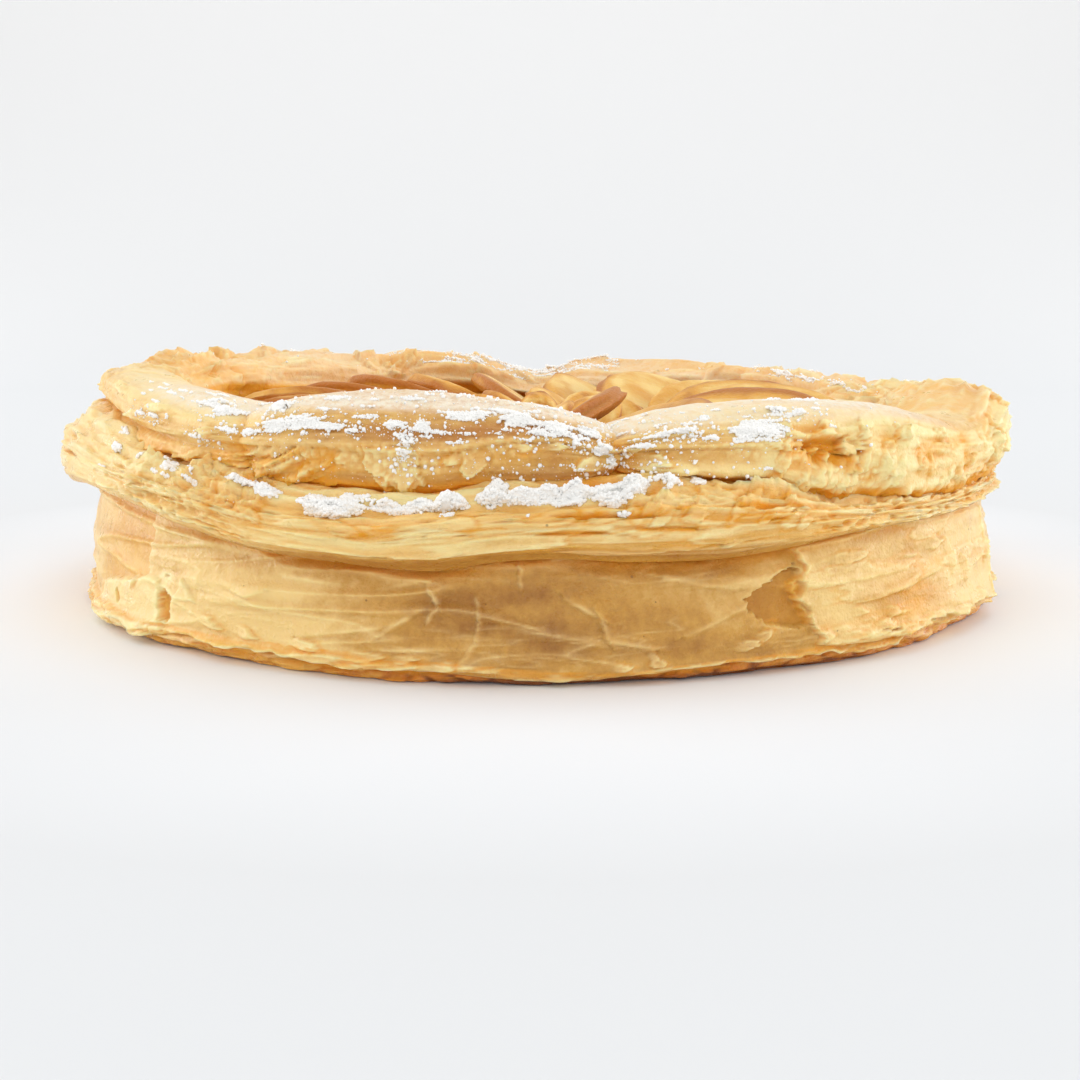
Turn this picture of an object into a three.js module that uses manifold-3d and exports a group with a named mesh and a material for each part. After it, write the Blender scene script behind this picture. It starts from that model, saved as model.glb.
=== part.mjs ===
// An open apple tart for one or two people.
// A round case of puff pastry holds cooked apple, and a rosette of apple slices stands on that.
// The case has a smooth wall, a flaky lip that stands out over it, and a rim of dough that was
// folded in over the fruit in nine lobes, with a pleat between each two.
//
// Millimetres, +Z up. The origin is under the middle of the base, on the surface the tart lies on.
// Angles go round from the front (-Y) towards the right (+X).

import * as THREE from "three";
import { mergeVertices } from "three/addons/utils/BufferGeometryUtils.js";
import Module from "manifold-3d";

const { degToRad } = THREE.MathUtils;
const wasm = await Module();
wasm.setup();

// ---- Driving dimensions ----

const WALL_RADIUS = 54; // the case's wall, half way up
const CREST_HEIGHT = 24; // the rim's top at a pleat, averaged round the tart
const CAVITY_RADIUS = 45.5; // the case's inside
const RIM_WIDTH = 11.9; // how far the folded rim reaches in over the fruit
const FLOOR = 3.5; // thickness of the case's bottom
const FIT = 0.3; // gap between pieces that lie against each other

const PLEATS = [8, 54, 96, 138, 180, 208, 250, 286, 328].map(degToRad); // between lobes
const LOBE_RISE = 1.6; // a lobe's middle above its pleats
const PLEAT_DIP = 0.8;
const PLEAT_WIDTH = degToRad(3.5);

const AROUND = 96; // steps round the case

const FILLING_LEVEL = 17; // the cooked apple at the middle
const FILLING_FALL = 1.4; // how much lower it lies at the wall

// The two rings of slices. A slice leans like a turbine blade, with its peel edge up.
const OUTER_SLICES = {
  name: "apple_slice_outer",
  count: 18,
  from: 15.4, // radii of the slice's two tips
  to: 41,
  width: 16.5, // from the core edge to the peel edge
  thickness: 4,
  lean: degToRad(31),
  height: 18.4, // of the slice's middle
};
const INNER_SLICES = {
  name: "apple_slice_inner",
  count: 9,
  from: 3.4,
  to: 14.6,
  width: 9.6,
  thickness: 2.8,
  lean: degToRad(36),
  height: 19.4,
};
const CURL = 0.14; // how far a slice's tips bend back to its core edge, as a share of its length
const FIRST_SLICE = degToRad(3); // the outer ring's first slice, which stands proud at the front
const PROUD_RISE = 2.2;
const PROUD_TILT = degToRad(10); // its outer tip is up against the rim

// ---- Materials ----

const pastry = new THREE.MeshStandardMaterial({ color: 0xe3b878, roughness: 0.62, metalness: 0 });
const stewedApple = new THREE.MeshStandardMaterial({ color: 0xc98a3a, roughness: 0.35, metalness: 0 });
const bakedSlice = new THREE.MeshStandardMaterial({ color: 0xe2ad5c, roughness: 0.4, metalness: 0 });

// ---- The pastry case ----

const bump = (angle, middle, width) => {
  const turn = 2 * Math.PI;
  const off = angle - middle - turn * Math.round((angle - middle) / turn);
  return Math.exp(-((off / width) ** 2));
};

// Where an angle lies in its lobe, from 0 at one pleat to 1 at the next.
function lobeShare(angle) {
  const turn = 2 * Math.PI;
  const at = ((angle % turn) + turn) % turn;
  const next = PLEATS.findIndex((p) => p > at);
  const end = next < 0 ? PLEATS[0] + turn : PLEATS[next];
  const start = next > 0 ? PLEATS[next - 1] : PLEATS.at(-1) - (next === 0 ? turn : 0);
  return (at - start) / (end - start);
}

const puff = (angle) => Math.sin(Math.PI * lobeShare(angle)) ** 0.8;
const pleat = (angle) => Math.max(...PLEATS.map((p) => bump(angle, p, PLEAT_WIDTH)));

// The rim is highest at the back left, and each lobe is a low hump.
const crestHeight = (angle) =>
  CREST_HEIGHT +
  1.1 * Math.cos(angle + degToRad(110)) +
  LOBE_RISE * puff(angle) -
  PLEAT_DIP * pleat(angle);

// The groove under the lip sags at the front and rises at the front left.
const grooveHeight = (angle) =>
  12.7 -
  1.8 * bump(angle, degToRad(-4), degToRad(26)) +
  1.6 * bump(angle, degToRad(-54), degToRad(13)) +
  0.25 * Math.sin(5 * angle + 1);

// The ledge between the lip and the folded rim, where one layer rose away from the other.
const ledgeHeight = (angle) =>
  18.4 - 1.8 * bump(angle, degToRad(-15), degToRad(10)) + 0.5 * Math.sin(3 * angle + 0.6);

// How open that ledge is: it closes up on the right, where the two layers baked together.
const ledgeOpen = (angle) => 1 - 0.85 * bump(angle, degToRad(66), degToRad(44));

const lipRadius = (angle) =>
  WALL_RADIUS + 1.3 - 0.8 * Math.sin(angle) + 0.25 * Math.sin(7 * angle + 2);
const foldRadius = (angle) =>
  WALL_RADIUS - 0.4 + 1.6 * Math.sin(angle) + 0.6 * puff(angle) - 0.9 * pleat(angle);

// The case's section at an angle, as [radius, height] from under its middle, round the outside
// and the rim, to the middle of its floor.
function caseSection(angle) {
  const wall = WALL_RADIUS + 0.25 * Math.sin(4 * angle + 0.5);
  const groove = grooveHeight(angle);
  const lip = lipRadius(angle);
  const ledge = ledgeHeight(angle);
  const fold = foldRadius(angle);
  const foot = fold - 1.5 * ledgeOpen(angle);
  const crest = crestHeight(angle);
  const crown = fold - 6.2;
  const inner = WALL_RADIUS - RIM_WIDTH - 1.2 * puff(angle) + 0.7 * pleat(angle);
  return [
    [0, 0],
    [wall - 3, 0],
    [wall - 0.9, 0.5],
    [wall - 0.2, 2.2],
    [wall + 0.3, 5],
    [wall - 0.2, 8.4],
    [wall - 1.4, groove],
    [lip - 0.7, groove + 0.9],
    [lip, (groove + ledge) / 2 + 0.6],
    [lip - 0.6, ledge - 0.5],
    [foot, ledge + 0.3],
    [fold, ledge + 2.6],
    [fold - 1, crest - 3.2],
    [fold - 3.4, crest - 0.9],
    [crown, crest],
    [(crown + inner) / 2 - 0.4, crest - 0.8],
    [inner, crest - 3],
    [CAVITY_RADIUS, crest - 4.8],
    [CAVITY_RADIUS, FLOOR + 1.8],
    [CAVITY_RADIUS - 1.8, FLOOR],
    [0, FLOOR],
  ];
}

// A turned body whose section changes as it goes round: LatheGeometry lays out the closed net, and
// each of its points is then set from the section at its own angle.
function turned(section, around) {
  const outline = section(0).map(([r, z]) => new THREE.Vector2(r, z));
  const body = new THREE.LatheGeometry(outline, around);
  const place = body.getAttribute("position");
  for (let step = 0; step <= around; step++) {
    const angle = ((step % around) / around) * 2 * Math.PI;
    section(angle).forEach(([r, z], i) =>
      place.setXYZ(step * outline.length + i, r * Math.sin(angle), -r * Math.cos(angle), z),
    );
  }
  return body;
}

// ---- The fruit ----

// Cooked apple fills the case to its inside wall, with a lumpy top that is highest in the middle.
function fillingSection(angle) {
  const side = CAVITY_RADIUS - FIT;
  const level = (r) =>
    FILLING_LEVEL - FILLING_FALL * (r / side) ** 2 + 0.35 * Math.sin(5 * angle + 0.35 * r) * (r / side);
  return [
    [0, FLOOR + FIT],
    [side - 2.2, FLOOR + FIT],
    [side, FLOOR + FIT + 2.2],
    [side, level(side)],
    [side * 0.75, level(side * 0.75)],
    [side * 0.5, level(side * 0.5)],
    [side * 0.25, level(side * 0.25)],
    [0, level(0)],
  ];
}

// A slice of apple, lying flat: its length is along X, its peel edge at +Y and thick, its core
// edge at -Y and thin. A ball is moulded to it, so the ball's poles are the slice's tips.
function sliceGeometry(length, width, thickness) {
  const slice = new THREE.SphereGeometry(1, 7, 8);
  const place = slice.getAttribute("position");
  for (let i = 0; i < place.count; i++) {
    const along = place.getY(i);
    const across = place.getX(i);
    const through = place.getZ(i);
    const wedge = 1 + 0.4 * (across / Math.max(0.2, Math.hypot(across, through)));
    place.setXYZ(
      i,
      (along * length) / 2,
      (across * width) / 2 - CURL * length * (along * along - 0.35),
      (-through * wedge * thickness) / 2.8,
    );
  }
  return slice;
}

// An uneven share from -1 to 1 that is the same each time for a slice and a purpose.
const uneven = (index, purpose) => Math.sin(index * 2.4 + purpose * 1.7 + 0.5 * index * index);

// Hangs one slice in groups: turned to its place round the tart, set out along its radius, leaning.
function placedSlice(ring, index, grow = 0) {
  const length = (ring.to - ring.from) * (1 + 0.03 * uneven(index, 1));
  const width = ring.width * (1 + 0.05 * uneven(index, 2));
  const thickness = ring.thickness * (1 + 0.06 * uneven(index, 3));
  const slice = new THREE.Mesh(sliceGeometry(length + grow, width + grow, thickness + grow), bakedSlice);
  slice.name = `${ring.name}_${String(index + 1).padStart(2, "0")}`;
  const proud = ring === OUTER_SLICES && index === 0;
  slice.rotation.order = "YXZ";
  slice.rotation.set(
    ring.lean + 0.05 * uneven(index, 4),
    0.04 * uneven(index, 5) - (proud ? PROUD_TILT : 0),
    0,
  );
  slice.position.set(
    (ring.from + ring.to) / 2 - 0.5 * Math.abs(uneven(index, 1)),
    0,
    ring.height + 0.5 * uneven(index, 6) + (proud ? PROUD_RISE : 0),
  );
  const holder = new THREE.Group();
  const turn = (2 * Math.PI * (index + 0.05 * uneven(index, 7))) / ring.count;
  holder.rotation.z = FIRST_SLICE + turn - Math.PI / 2;
  holder.add(slice);
  return holder;
}

// The nub of apple that closes the rosette.
function centreNub(grow = 0) {
  const nub = new THREE.Mesh(sliceGeometry(5.4 + grow, 4 + grow, 7 + grow), bakedSlice);
  nub.name = "apple_nub";
  nub.position.set(0, 0, 20.4);
  return nub;
}

// ---- Cutting ----

function solidOf(mesh) {
  mesh.updateWorldMatrix(true, false);
  const bare = mesh.geometry.clone();
  bare.deleteAttribute("normal");
  bare.deleteAttribute("uv");
  const merged = mergeVertices(bare.applyMatrix4(mesh.matrixWorld), 1e-3);
  return new wasm.Manifold(
    new wasm.Mesh({
      numProp: 3,
      vertProperties: merged.getAttribute("position").array,
      triVerts: new Uint32Array(merged.index.array),
    }),
  );
}

function geometryOf(solid) {
  const { vertProperties, triVerts } = solid.getMesh();
  const geometry = new THREE.BufferGeometry();
  geometry.setAttribute("position", new THREE.BufferAttribute(new Float32Array(vertProperties), 3));
  geometry.setIndex(new THREE.BufferAttribute(new Uint32Array(triVerts), 1));
  geometry.computeVertexNormals();
  return geometry;
}

// ---- The tart ----

const ringOf = (ring, grow) => Array.from({ length: ring.count }, (_, i) => placedSlice(ring, i, grow));
const fruit = (grow) => [...ringOf(OUTER_SLICES, grow), ...ringOf(INNER_SLICES, grow), centreNub(grow)];
const meshIn = (item) => (item.isMesh ? item : item.children[0]);

function filling() {
  const bed = new THREE.Mesh(turned(fillingSection, AROUND / 2));
  const slots = fruit(2 * FIT).map((item) => solidOf(meshIn(item)));
  const cut = slots.reduce((left, slot) => left.subtract(slot), solidOf(bed));
  const mesh = new THREE.Mesh(geometryOf(cut), stewedApple);
  mesh.name = "apple_filling";
  return mesh;
}

const crust = new THREE.Mesh(turned(caseSection, AROUND), pastry);
crust.name = "crust";

const tart = new THREE.Group();
tart.add(crust, filling(), ...fruit(0));

// The rim is uneven, so the whole is shifted to put the middle of its bounds on the axes.
const middle = new THREE.Box3().setFromObject(tart).getCenter(new THREE.Vector3());
tart.position.set(-middle.x, -middle.y, 0);

export default tart;
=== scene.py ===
"""An apple tart: the looks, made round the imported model.

Every shape is worked out in millimetres round the tart's own upright axis. An angle goes round
from the front (-Y) towards the right (+X), in radians, and a height is above the table.
"""

import math

import bpy
import numpy as np
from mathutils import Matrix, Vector


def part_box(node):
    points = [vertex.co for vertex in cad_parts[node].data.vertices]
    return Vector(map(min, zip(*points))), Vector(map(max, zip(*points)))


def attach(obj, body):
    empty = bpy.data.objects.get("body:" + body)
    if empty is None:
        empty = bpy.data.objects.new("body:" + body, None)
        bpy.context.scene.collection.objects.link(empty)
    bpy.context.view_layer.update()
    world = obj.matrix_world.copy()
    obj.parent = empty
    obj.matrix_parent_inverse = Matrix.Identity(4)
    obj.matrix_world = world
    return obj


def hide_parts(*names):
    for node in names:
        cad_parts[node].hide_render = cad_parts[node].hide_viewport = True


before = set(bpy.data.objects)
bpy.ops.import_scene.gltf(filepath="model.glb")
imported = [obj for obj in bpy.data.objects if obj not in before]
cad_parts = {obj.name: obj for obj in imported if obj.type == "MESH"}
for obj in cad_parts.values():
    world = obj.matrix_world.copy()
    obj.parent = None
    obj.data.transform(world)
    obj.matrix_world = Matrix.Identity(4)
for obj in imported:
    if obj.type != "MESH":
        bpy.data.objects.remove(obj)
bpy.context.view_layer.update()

MM = 0.001
TURN = 2 * math.pi

# ---- Driving dimensions, from the frame ----

bed_low, bed_high = (np.array(corner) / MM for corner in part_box("apple_filling"))
AXIS = (bed_low + bed_high) / 2 * [1, 1, 0]
BED_RADIUS = (bed_high - bed_low)[0] / 2
CASE_THICKNESS = 8.8
WALL = BED_RADIUS + CASE_THICKNESS  # radius of the side wall, half way up
DEGREE = WALL * math.pi / 180  # one degree round the wall, in mm

RIM_WIDTH = 12.6  # from the wall in to the rim's inner side
RIM_SINK = 1.1  # how deep the rim is pressed into the ledge
LIP_OVERLAP = 4.0  # how far the lip starts inside the wall
LIP_SPAN = 6.0  # mm across the lip from its middle to its foot, and to the back of the ledge
LOBE_MM = 5.5  # one radian around the rim's section is about this many mm
BOXY = 0.82  # how square the rim's section is: 1 is an oval, and less is squarer


# ---- Curves and unevenness ----


def round_curve(stops):
    """A value against the angle round the tart: a closed cubic through (degrees, value) stops,
    whose slope at a stop is that of the line between its two neighbours."""
    where, value = np.array(sorted(stops), float).T
    gap = np.diff(np.append(where, where[0] + 360))
    slope = (np.roll(value, -1) - np.roll(value, 1)) / (gap + np.roll(gap, 1))

    def curve(angle):
        at = (np.degrees(angle) - where[0]) % 360 + where[0]
        i = np.searchsorted(where, at, "right") - 1
        j = (i + 1) % len(where)
        t = (at - where[i]) / gap[i]
        pull = slope[i] * gap[i] * t * (1 - t) ** 2 - slope[j] * gap[i] * t * t * (1 - t)
        return value[i] + (value[j] - value[i]) * t * t * (3 - 2 * t) + pull

    return curve


def ease(value, low, high):
    """0 below low, 1 above high, and a smooth rise between them."""
    t = np.clip((value - low) / (high - low), 0, 1)
    return t * t * (3 - 2 * t)


def swell(value, middle, width):
    """A bell-shaped bump: 1 at the middle, and about a third one width away."""
    return np.exp(-(((value - middle) / width) ** 2))


def signed_degrees(angle, middle=0):
    """How many degrees an angle is from middle, from -180 to 180."""
    return (np.degrees(angle) - middle + 180) % 360 - 180


def sector(angle, middle, width):
    """The same bump round the tart, with its middle and width in degrees."""
    return np.exp(-((signed_degrees(angle, middle) / width) ** 2))


def ripple(angle, along, size, seed, stretch=1.0):
    """Smooth unevenness of about -1 to 1: the sum of cosine waves that run in random directions
    over the surface, about size mm long, and stretch times longer round the tart than across it.
    Each wave fits a whole number of times round the tart, so that it closes on itself."""
    draw = np.random.default_rng(seed)
    total, waves = 0.0, 18
    for _ in range(waves):
        length = size * draw.uniform(0.65, 1.6)
        heading = draw.uniform(0, TURN)
        turns = np.round(WALL * math.cos(heading) / (length * stretch))
        climb = TURN * math.sin(heading) / length
        total = total + np.cos(turns * angle + climb * along + draw.uniform(0, TURN))
    return total * math.sqrt(2 / waves) * 0.6


def rough(angle, along, size, seed, stretch=1.0, octaves=4):
    """Ripples of falling size, each half as high and half as long as the one before."""
    layers = (ripple(angle, along, size / 2**k, seed + k, stretch) / 2**k for k in range(octaves))
    return sum(layers) / 1.6


def creased(angle, along, size, seed, stretch=1.0):
    """Sharp ridge lines: 1 on the lines where a ripple passes through zero, falling to 0."""
    return 1 - np.clip(np.abs(rough(angle, along, size, seed, stretch, 3)) * 2.5, 0, 1)


def cells(angle, along, wide, tall, seed):
    """Splits the surface into irregular cells about wide by tall mm. Gives how far each point is
    from its cell's edge (0 to about 0.5, in cell sizes), a random number for the cell, and how far
    the point is from the cell's middle round the tart and across, in cell sizes."""
    draw = np.random.default_rng(seed)
    count, rows = max(3, round(TURN * WALL / wide)), 257
    shift = draw.random((count, rows, 3))
    u, v = np.broadcast_arrays(np.mod(angle, TURN) / TURN * count, along / tall)
    iu, iv = np.floor(u).astype(int), np.floor(v).astype(int)
    first = np.full(u.shape, 9.0)
    second, mark, off_u, off_v = first.copy(), np.zeros(u.shape), np.zeros(u.shape), np.zeros(u.shape)
    for du in (-1, 0, 1):
        for dv in (-1, 0, 1):
            jitter = shift[(iu + du) % count, (iv + dv) % rows]
            to_u, to_v = u - iu - du - jitter[..., 0], v - iv - dv - jitter[..., 1]
            far = np.hypot(to_u, to_v)
            nearer = far < first
            second = np.where(nearer, first, np.minimum(second, far))
            mark = np.where(nearer, jitter[..., 2], mark)
            off_u, off_v = np.where(nearer, to_u, off_u), np.where(nearer, to_v, off_v)
            first = np.where(nearer, far, first)
    return (second - first) / 2, mark, off_u, off_v


def shingles(angle, along, wide, tall, seed, ragged=0.35):
    """Overlapping torn plates about wide by tall mm, each tilted so that it stands out most at its
    lower edge. Gives how far each point stands out (about 0 to 1), and a random number for its
    plate."""
    warp, other = (ragged * rough(angle, along, 2.5 * tall, seed + k, wide / tall) for k in (1, 7))
    _, mark, _, off_v = cells(angle + other * wide / WALL, along + warp * tall, wide, tall, seed)
    return 0.5 - 0.7 * off_v + 0.5 * (mark - 0.5), mark


def plies(angle, across, count, size, seed, stretch, level, thick, octaves=4):
    """Thin torn layers, one on another, as relief: each lies where its own rough ripple is above
    level, and ends in a steep ragged edge. Gives how far they stand out in mm, and how near a
    point is to an edge, on the edge's upper side and on its lower side (0 to 1)."""
    out, upper, lower = 0.0, 0.0, 0.0
    for k in range(count):
        inside = 0.16 * size * (rough(angle, across, size, seed + 11 * k, stretch, octaves) - level)
        inside = inside - ease(level, 0.9, 1.2)
        lies = ease(inside, -0.04, 0.08)
        out = out + thick * (lies + 0.6 * lies * swell(inside, 0.08, 0.2))
        upper = (1 - lies) * upper + lies * swell(inside, 0.08, 0.14)
        lower = (1 - lies) * np.maximum(lower, swell(inside, -0.05, 0.14))
    return out, upper, lower


def leaves(angle, across, places, seed, thick=0.3, ragged=0.3):
    """Torn leaves of dough, lying on one another, as relief. Each of the places is (degrees, mm
    across, half length, half width, turn): an oval with a ragged edge that grows out of the
    surface, and is free at the end that its turn in degrees points to (0 is right, 90 is up).
    Gives how far they stand out in mm, and how near a point is to a free edge, on a leaf and
    beside it (0 to 1)."""
    uneven = ragged * rough(angle, across, 1.4, seed, octaves=5)
    out, upper, lower = 0.0, 0.0, 0.0
    for middle, level, long, wide, turn in places:
        x, y = signed_degrees(angle, middle) * DEGREE, across - level
        c, s = math.cos(math.radians(turn)), math.sin(math.radians(turn))
        along = (x * c + y * s) / long
        inside = (1 - np.hypot(along, (y * c - x * s) / wide)) * wide + uneven
        lies, free = ease(inside, -0.06, 0.1), ease(along, -1.0, 0.4)
        out = out + thick * lies * free * (1 + 0.5 * swell(inside, 0.12, 0.2))
        upper = (1 - lies) * upper + lies * free * swell(inside, 0.12, 0.25)
        lower = (1 - lies) * np.maximum(lower, free * swell(inside, -0.07, 0.13))
    return out, upper, lower


def scattered_leaves(seed, count, limits, long, wide, turn):
    """Places for leaves: drawn at random between limits (degrees and mm across), with sizes and
    turns drawn between the two numbers of each pair."""
    draw = np.random.default_rng(seed)
    start, stop, low, high = limits
    low_ends = [start, low, long[0], wide[0], turn[0]]
    return draw.uniform(low_ends, [stop, high, long[1], wide[1], turn[1]], (count, 5))


def sponge(angle, across, seed, size=1.5):
    """Torn open dough: soft lumps with pits of several sizes. Gives how far it stands out in mm,
    and how much a point is on a lump's top, or down in a pit (0 to 1)."""
    _, mark, off_u, off_v = cells(angle, across, size, 0.8 * size, seed)
    pit = ease(0.12 + 0.3 * mark - np.hypot(off_u, off_v), -0.12, 0.12) * ease(mark, 0.35, 0.6)
    soft = rough(angle, across, 1.9 * size, seed + 40, 1.1, 5)
    out = 0.4 * size * soft - 0.3 * size * pit
    return out, 0.7 * ease(soft, 0.1, 0.6), np.clip(0.8 * pit + 0.5 * ease(-soft, 0.15, 0.7), 0, 1)


def outline(angle, level, corners):
    """How far inside a convex outline a point is, in mm, and below 0 outside it: the least distance
    to its sides. The corners are (degrees, mm), and go round anticlockwise."""
    x = signed_degrees(angle) * DEGREE
    corners = np.array(corners, float) * [DEGREE, 1]
    least = np.inf
    for (x0, y0), (x1, y1) in zip(corners, np.roll(corners, -1, 0)):
        inward = ((x1 - x0) * (level - y0) - (y1 - y0) * (x - x0)) / math.hypot(x1 - x0, y1 - y0)
        least = np.minimum(least, inward)
    return least


# ---- Meshes ----


def place(angle, radius, height):
    """Points in millimetres from angle, radius and height, in the last axis."""
    angle, radius, height = np.broadcast_arrays(angle, radius, height)
    return np.stack([radius * np.sin(angle), -radius * np.cos(angle), height], -1)


def net(rows, columns, close_rows=True, close_columns=True):
    """The four corners of each cell of a grid of points, with its rows round the tart."""
    i = np.arange(rows if close_rows else rows - 1)[:, None]
    j = np.arange(columns if close_columns else columns - 1)[None, :]
    i2, j2 = (i + 1) % rows, (j + 1) % columns
    i, j, i2, j2 = np.broadcast_arrays(i, j, i2, j2)
    corners = [i * columns + j, i2 * columns + j, i2 * columns + j2, i * columns + j2]
    return np.stack(corners, -1).reshape(-1, 4)


def steps_round(count, crowd=0.35):
    """Angles all the way round, closer together at the front: crowd is how much, from 0 to 1."""
    even = np.linspace(-math.pi, math.pi, count, endpoint=False)[:, None]
    return even - crowd * np.sin(even)


def ring(points):
    """A closed ring: a grid of points whose rows go round and whose columns close too."""
    rows, columns = points.shape[:2]
    return points.reshape(-1, 3), [net(rows, columns)]


def turned(points):
    """A closed body: rows go round, and the first and last column are closed by a point each."""
    rows, columns = points.shape[:2]
    flat = points.reshape(-1, 3)
    ends = np.stack([points[:, 0].mean(0), points[:, -1].mean(0)])
    i = np.arange(rows)
    here, there = i * columns, (i + 1) % rows * columns
    bottom = np.stack([there, here, np.full(rows, len(flat))], -1)
    top = np.stack([here + columns - 1, there + columns - 1, np.full(rows, len(flat) + 1)], -1)
    return np.concatenate([flat, ends]), [net(rows, columns, True, False), bottom, top]


def pods(points):
    """Many closed bodies at once, from an array (body, row, column, xyz): each body's columns
    close on themselves, and its first and last row are closed by a point each."""
    count, rows, columns = points.shape[:3]
    body = net(rows, columns, False, True)
    tip, tail = rows * columns, rows * columns + 1
    j = np.arange(columns)
    k = (j + 1) % columns
    start = np.stack([j, np.full(columns, tip), k], -1)
    end = np.stack([(rows - 1) * columns + k, np.full(columns, tail), (rows - 1) * columns + j], -1)
    flat = points.reshape(count, -1, 3)
    ends = np.stack([points[:, 0].mean(1), points[:, -1].mean(1)], 1)
    step = (np.arange(count) * (rows * columns + 2))[:, None, None]
    grids = [(faces[None] + step).reshape(-1, faces.shape[1]) for faces in (body, start, end)]
    return np.concatenate([flat, ends], 1).reshape(-1, 3), grids


def outwards(surface, angle, across):
    """Points on a surface of (angle, across), and unit vectors that point out of it, from small
    steps along both."""
    step = 1e-3
    here = surface(angle, across)
    out = np.cross(surface(angle + step, across) - here, surface(angle, across + step) - here)
    return here, out / np.linalg.norm(out, axis=-1, keepdims=True)


def sheets(surface, angle, across, cover, lift, thick):
    """Torn sheets that lie over a surface: closed slabs that fill the part of a grid where cover
    is above 0. Corners just outside are moved on to the line where cover is 0. lift is how far the
    top is from the surface in mm, and thick how far the underside is below it."""
    angle, across, cover, lift, thick = np.broadcast_arrays(angle, across, cover, lift, thick)
    rows, columns = cover.shape
    total = rows * columns
    slope_i, slope_j = np.gradient(cover)
    pull = np.where(cover < 0, -cover, 0) / np.maximum(slope_i**2 + slope_j**2, 1e-6)
    angle = angle + np.clip(pull * slope_i, -1, 1) * np.gradient(angle, axis=0)
    across = across + np.clip(pull * slope_j, -1, 1) * np.gradient(across, axis=1)
    top = net(rows, columns, False, False)
    top = top[(cover.ravel()[top] > 0).sum(1) >= 2]
    edges = np.concatenate([top[:, [k, (k + 1) % 4]] for k in range(4)])
    lone = ~np.isin(edges[:, 0] * total + edges[:, 1], edges[:, 1] * total + edges[:, 0])
    a, b = edges[lone].T
    faces = np.concatenate([top, top[:, ::-1] + total, np.stack([b, a, a + total, b + total], -1)])
    used, index = np.unique(faces, return_inverse=True)
    grid = used % total
    here, out = outwards(surface, angle.ravel()[grid], across.ravel()[grid])
    rise = lift.ravel()[grid] - np.where(used >= total, thick.ravel()[grid], 0)
    return here + out * rise[:, None], [index.reshape(-1, 4)]


def grid_over(start, stop, low, high, step):
    """A grid of angles (from degrees) and places across, with step mm between its points."""
    rows = round((stop - start) * DEGREE / step)
    columns = round((high - low) / step)
    return np.radians(np.linspace(start, stop, rows))[:, None], np.linspace(low, high, columns)[None, :]


def joined(parts):
    """Several (points, faces) as one."""
    points, faces, start = [], [], 0
    for some, grids in parts:
        points.append(some)
        faces += [grid + start for grid in grids]
        start += len(some)
    return np.concatenate(points), faces


def piece(name, shape, finish, slot, stands_for=(), **shades):
    """Puts points and faces into a mesh object that rides with the tart. Each of the shades is a
    number for each point, which the finish reads by its name."""
    points, grids = shape
    mesh = bpy.data.meshes.new(name)
    faces = [face for grid in grids for face in grid.tolist()]
    mesh.from_pydata(((points + AXIS) * MM).tolist(), [], faces)
    mesh.polygons.foreach_set("use_smooth", np.ones(len(faces), bool))
    for label, value in shades.items():
        layer = mesh.attributes.new(label, "FLOAT", "POINT")
        layer.data.foreach_set("value", np.broadcast_to(value, len(points)).astype(np.float32))
    mesh.update()
    made = bpy.data.objects.new(name, mesh)
    bpy.context.scene.collection.objects.link(made)
    made.data.materials.append(finish)
    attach(made, "root")
    if stands_for:
        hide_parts(*stands_for)


# ---- The tart's outline ----

groove_height = round_curve([
    (-140, 12.4), (-105, 12.8), (-76, 13.2), (-62, 14.6), (-48, 14.0), (-41, 12.9), (-33, 11.6), (-29, 11.0),
    (-20, 10.4), (-10, 9.9), (-4, 10.9), (2, 11.2), (9, 10.8), (18, 10.7), (27, 11.4), (34, 12.1), (52, 12.5),
    (78, 12.9), (110, 12.6), (150, 12.1), (185, 12.6),
])
ledge_height = round_curve([
    (-140, 18.0), (-100, 20.4), (-84, 21.0), (-66, 20.9), (-55, 19.9), (-46, 19.1), (-38, 18.6),
    (-31, 17.8), (-24, 17.1), (-17, 16.9), (-10, 16.8), (-5, 17.7), (2, 17.8), (7, 18.0), (12, 18.7),
    (17, 18.2), (23, 17.4), (28, 16.6), (34, 15.8), (42, 15.4), (56, 15.3), (72, 15.8), (90, 16.8),
    (120, 18.0), (170, 18.0),
])
shoulder_drop = round_curve([
    (-150, 0.8), (-100, 1.2), (-84, 1.6), (-66, 1.6), (-55, 1.2), (-42, 1.2), (-30, 1.8), (-24, 1.9),
    (-16, 1.9), (-10, 0.9), (-5, 1.6), (2, 1.4), (7, 1.3), (12, 1.6), (20, 1.1), (30, 0.3), (60, 0.1),
    (90, 0.2), (120, 0.8),
])
crest_height = round_curve([
    (-168, 24.6), (-158, 26.0), (-148, 25.4), (-134, 25.9), (-120, 26.2), (-104, 26.8), (-91, 26.2),
    (-80, 26.6), (-70, 26.6), (-46, 25.3), (-37, 24.6), (-31, 24.8), (-24, 25.7), (-14, 25.9), (-6, 25.4),
    (2, 24.6), (8, 23.7), (14, 24.0), (26, 24.5), (36, 24.2), (42, 23.8), (48, 23.0), (54, 22.3),
    (60, 22.2), (65, 22.9), (70, 24.0), (76, 24.5), (84, 23.8), (98, 23.1), (112, 22.2), (124, 22.5),
    (134, 24.0), (150, 23.2), (161, 23.2), (172, 23.8), (181, 22.2),
])
lip_reach = round_curve([
    (-150, 0.9), (-90, 2.0), (-50, 1.6), (-20, 1.5), (10, 1.4), (30, 0.9), (50, 0.5), (90, 0.4), (110, 0.6),
    (150, 1.0),
])
fold_reach = round_curve([
    (-150, -0.6), (-110, -1.6), (-84, -2.2), (-64, -2.2), (-52, -1.3), (-42, -0.6), (-20, -0.7), (20, -0.6),
    (40, 0.3), (65, 1.5), (90, 1.9), (120, 1.0), (160, -0.4),
])
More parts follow.
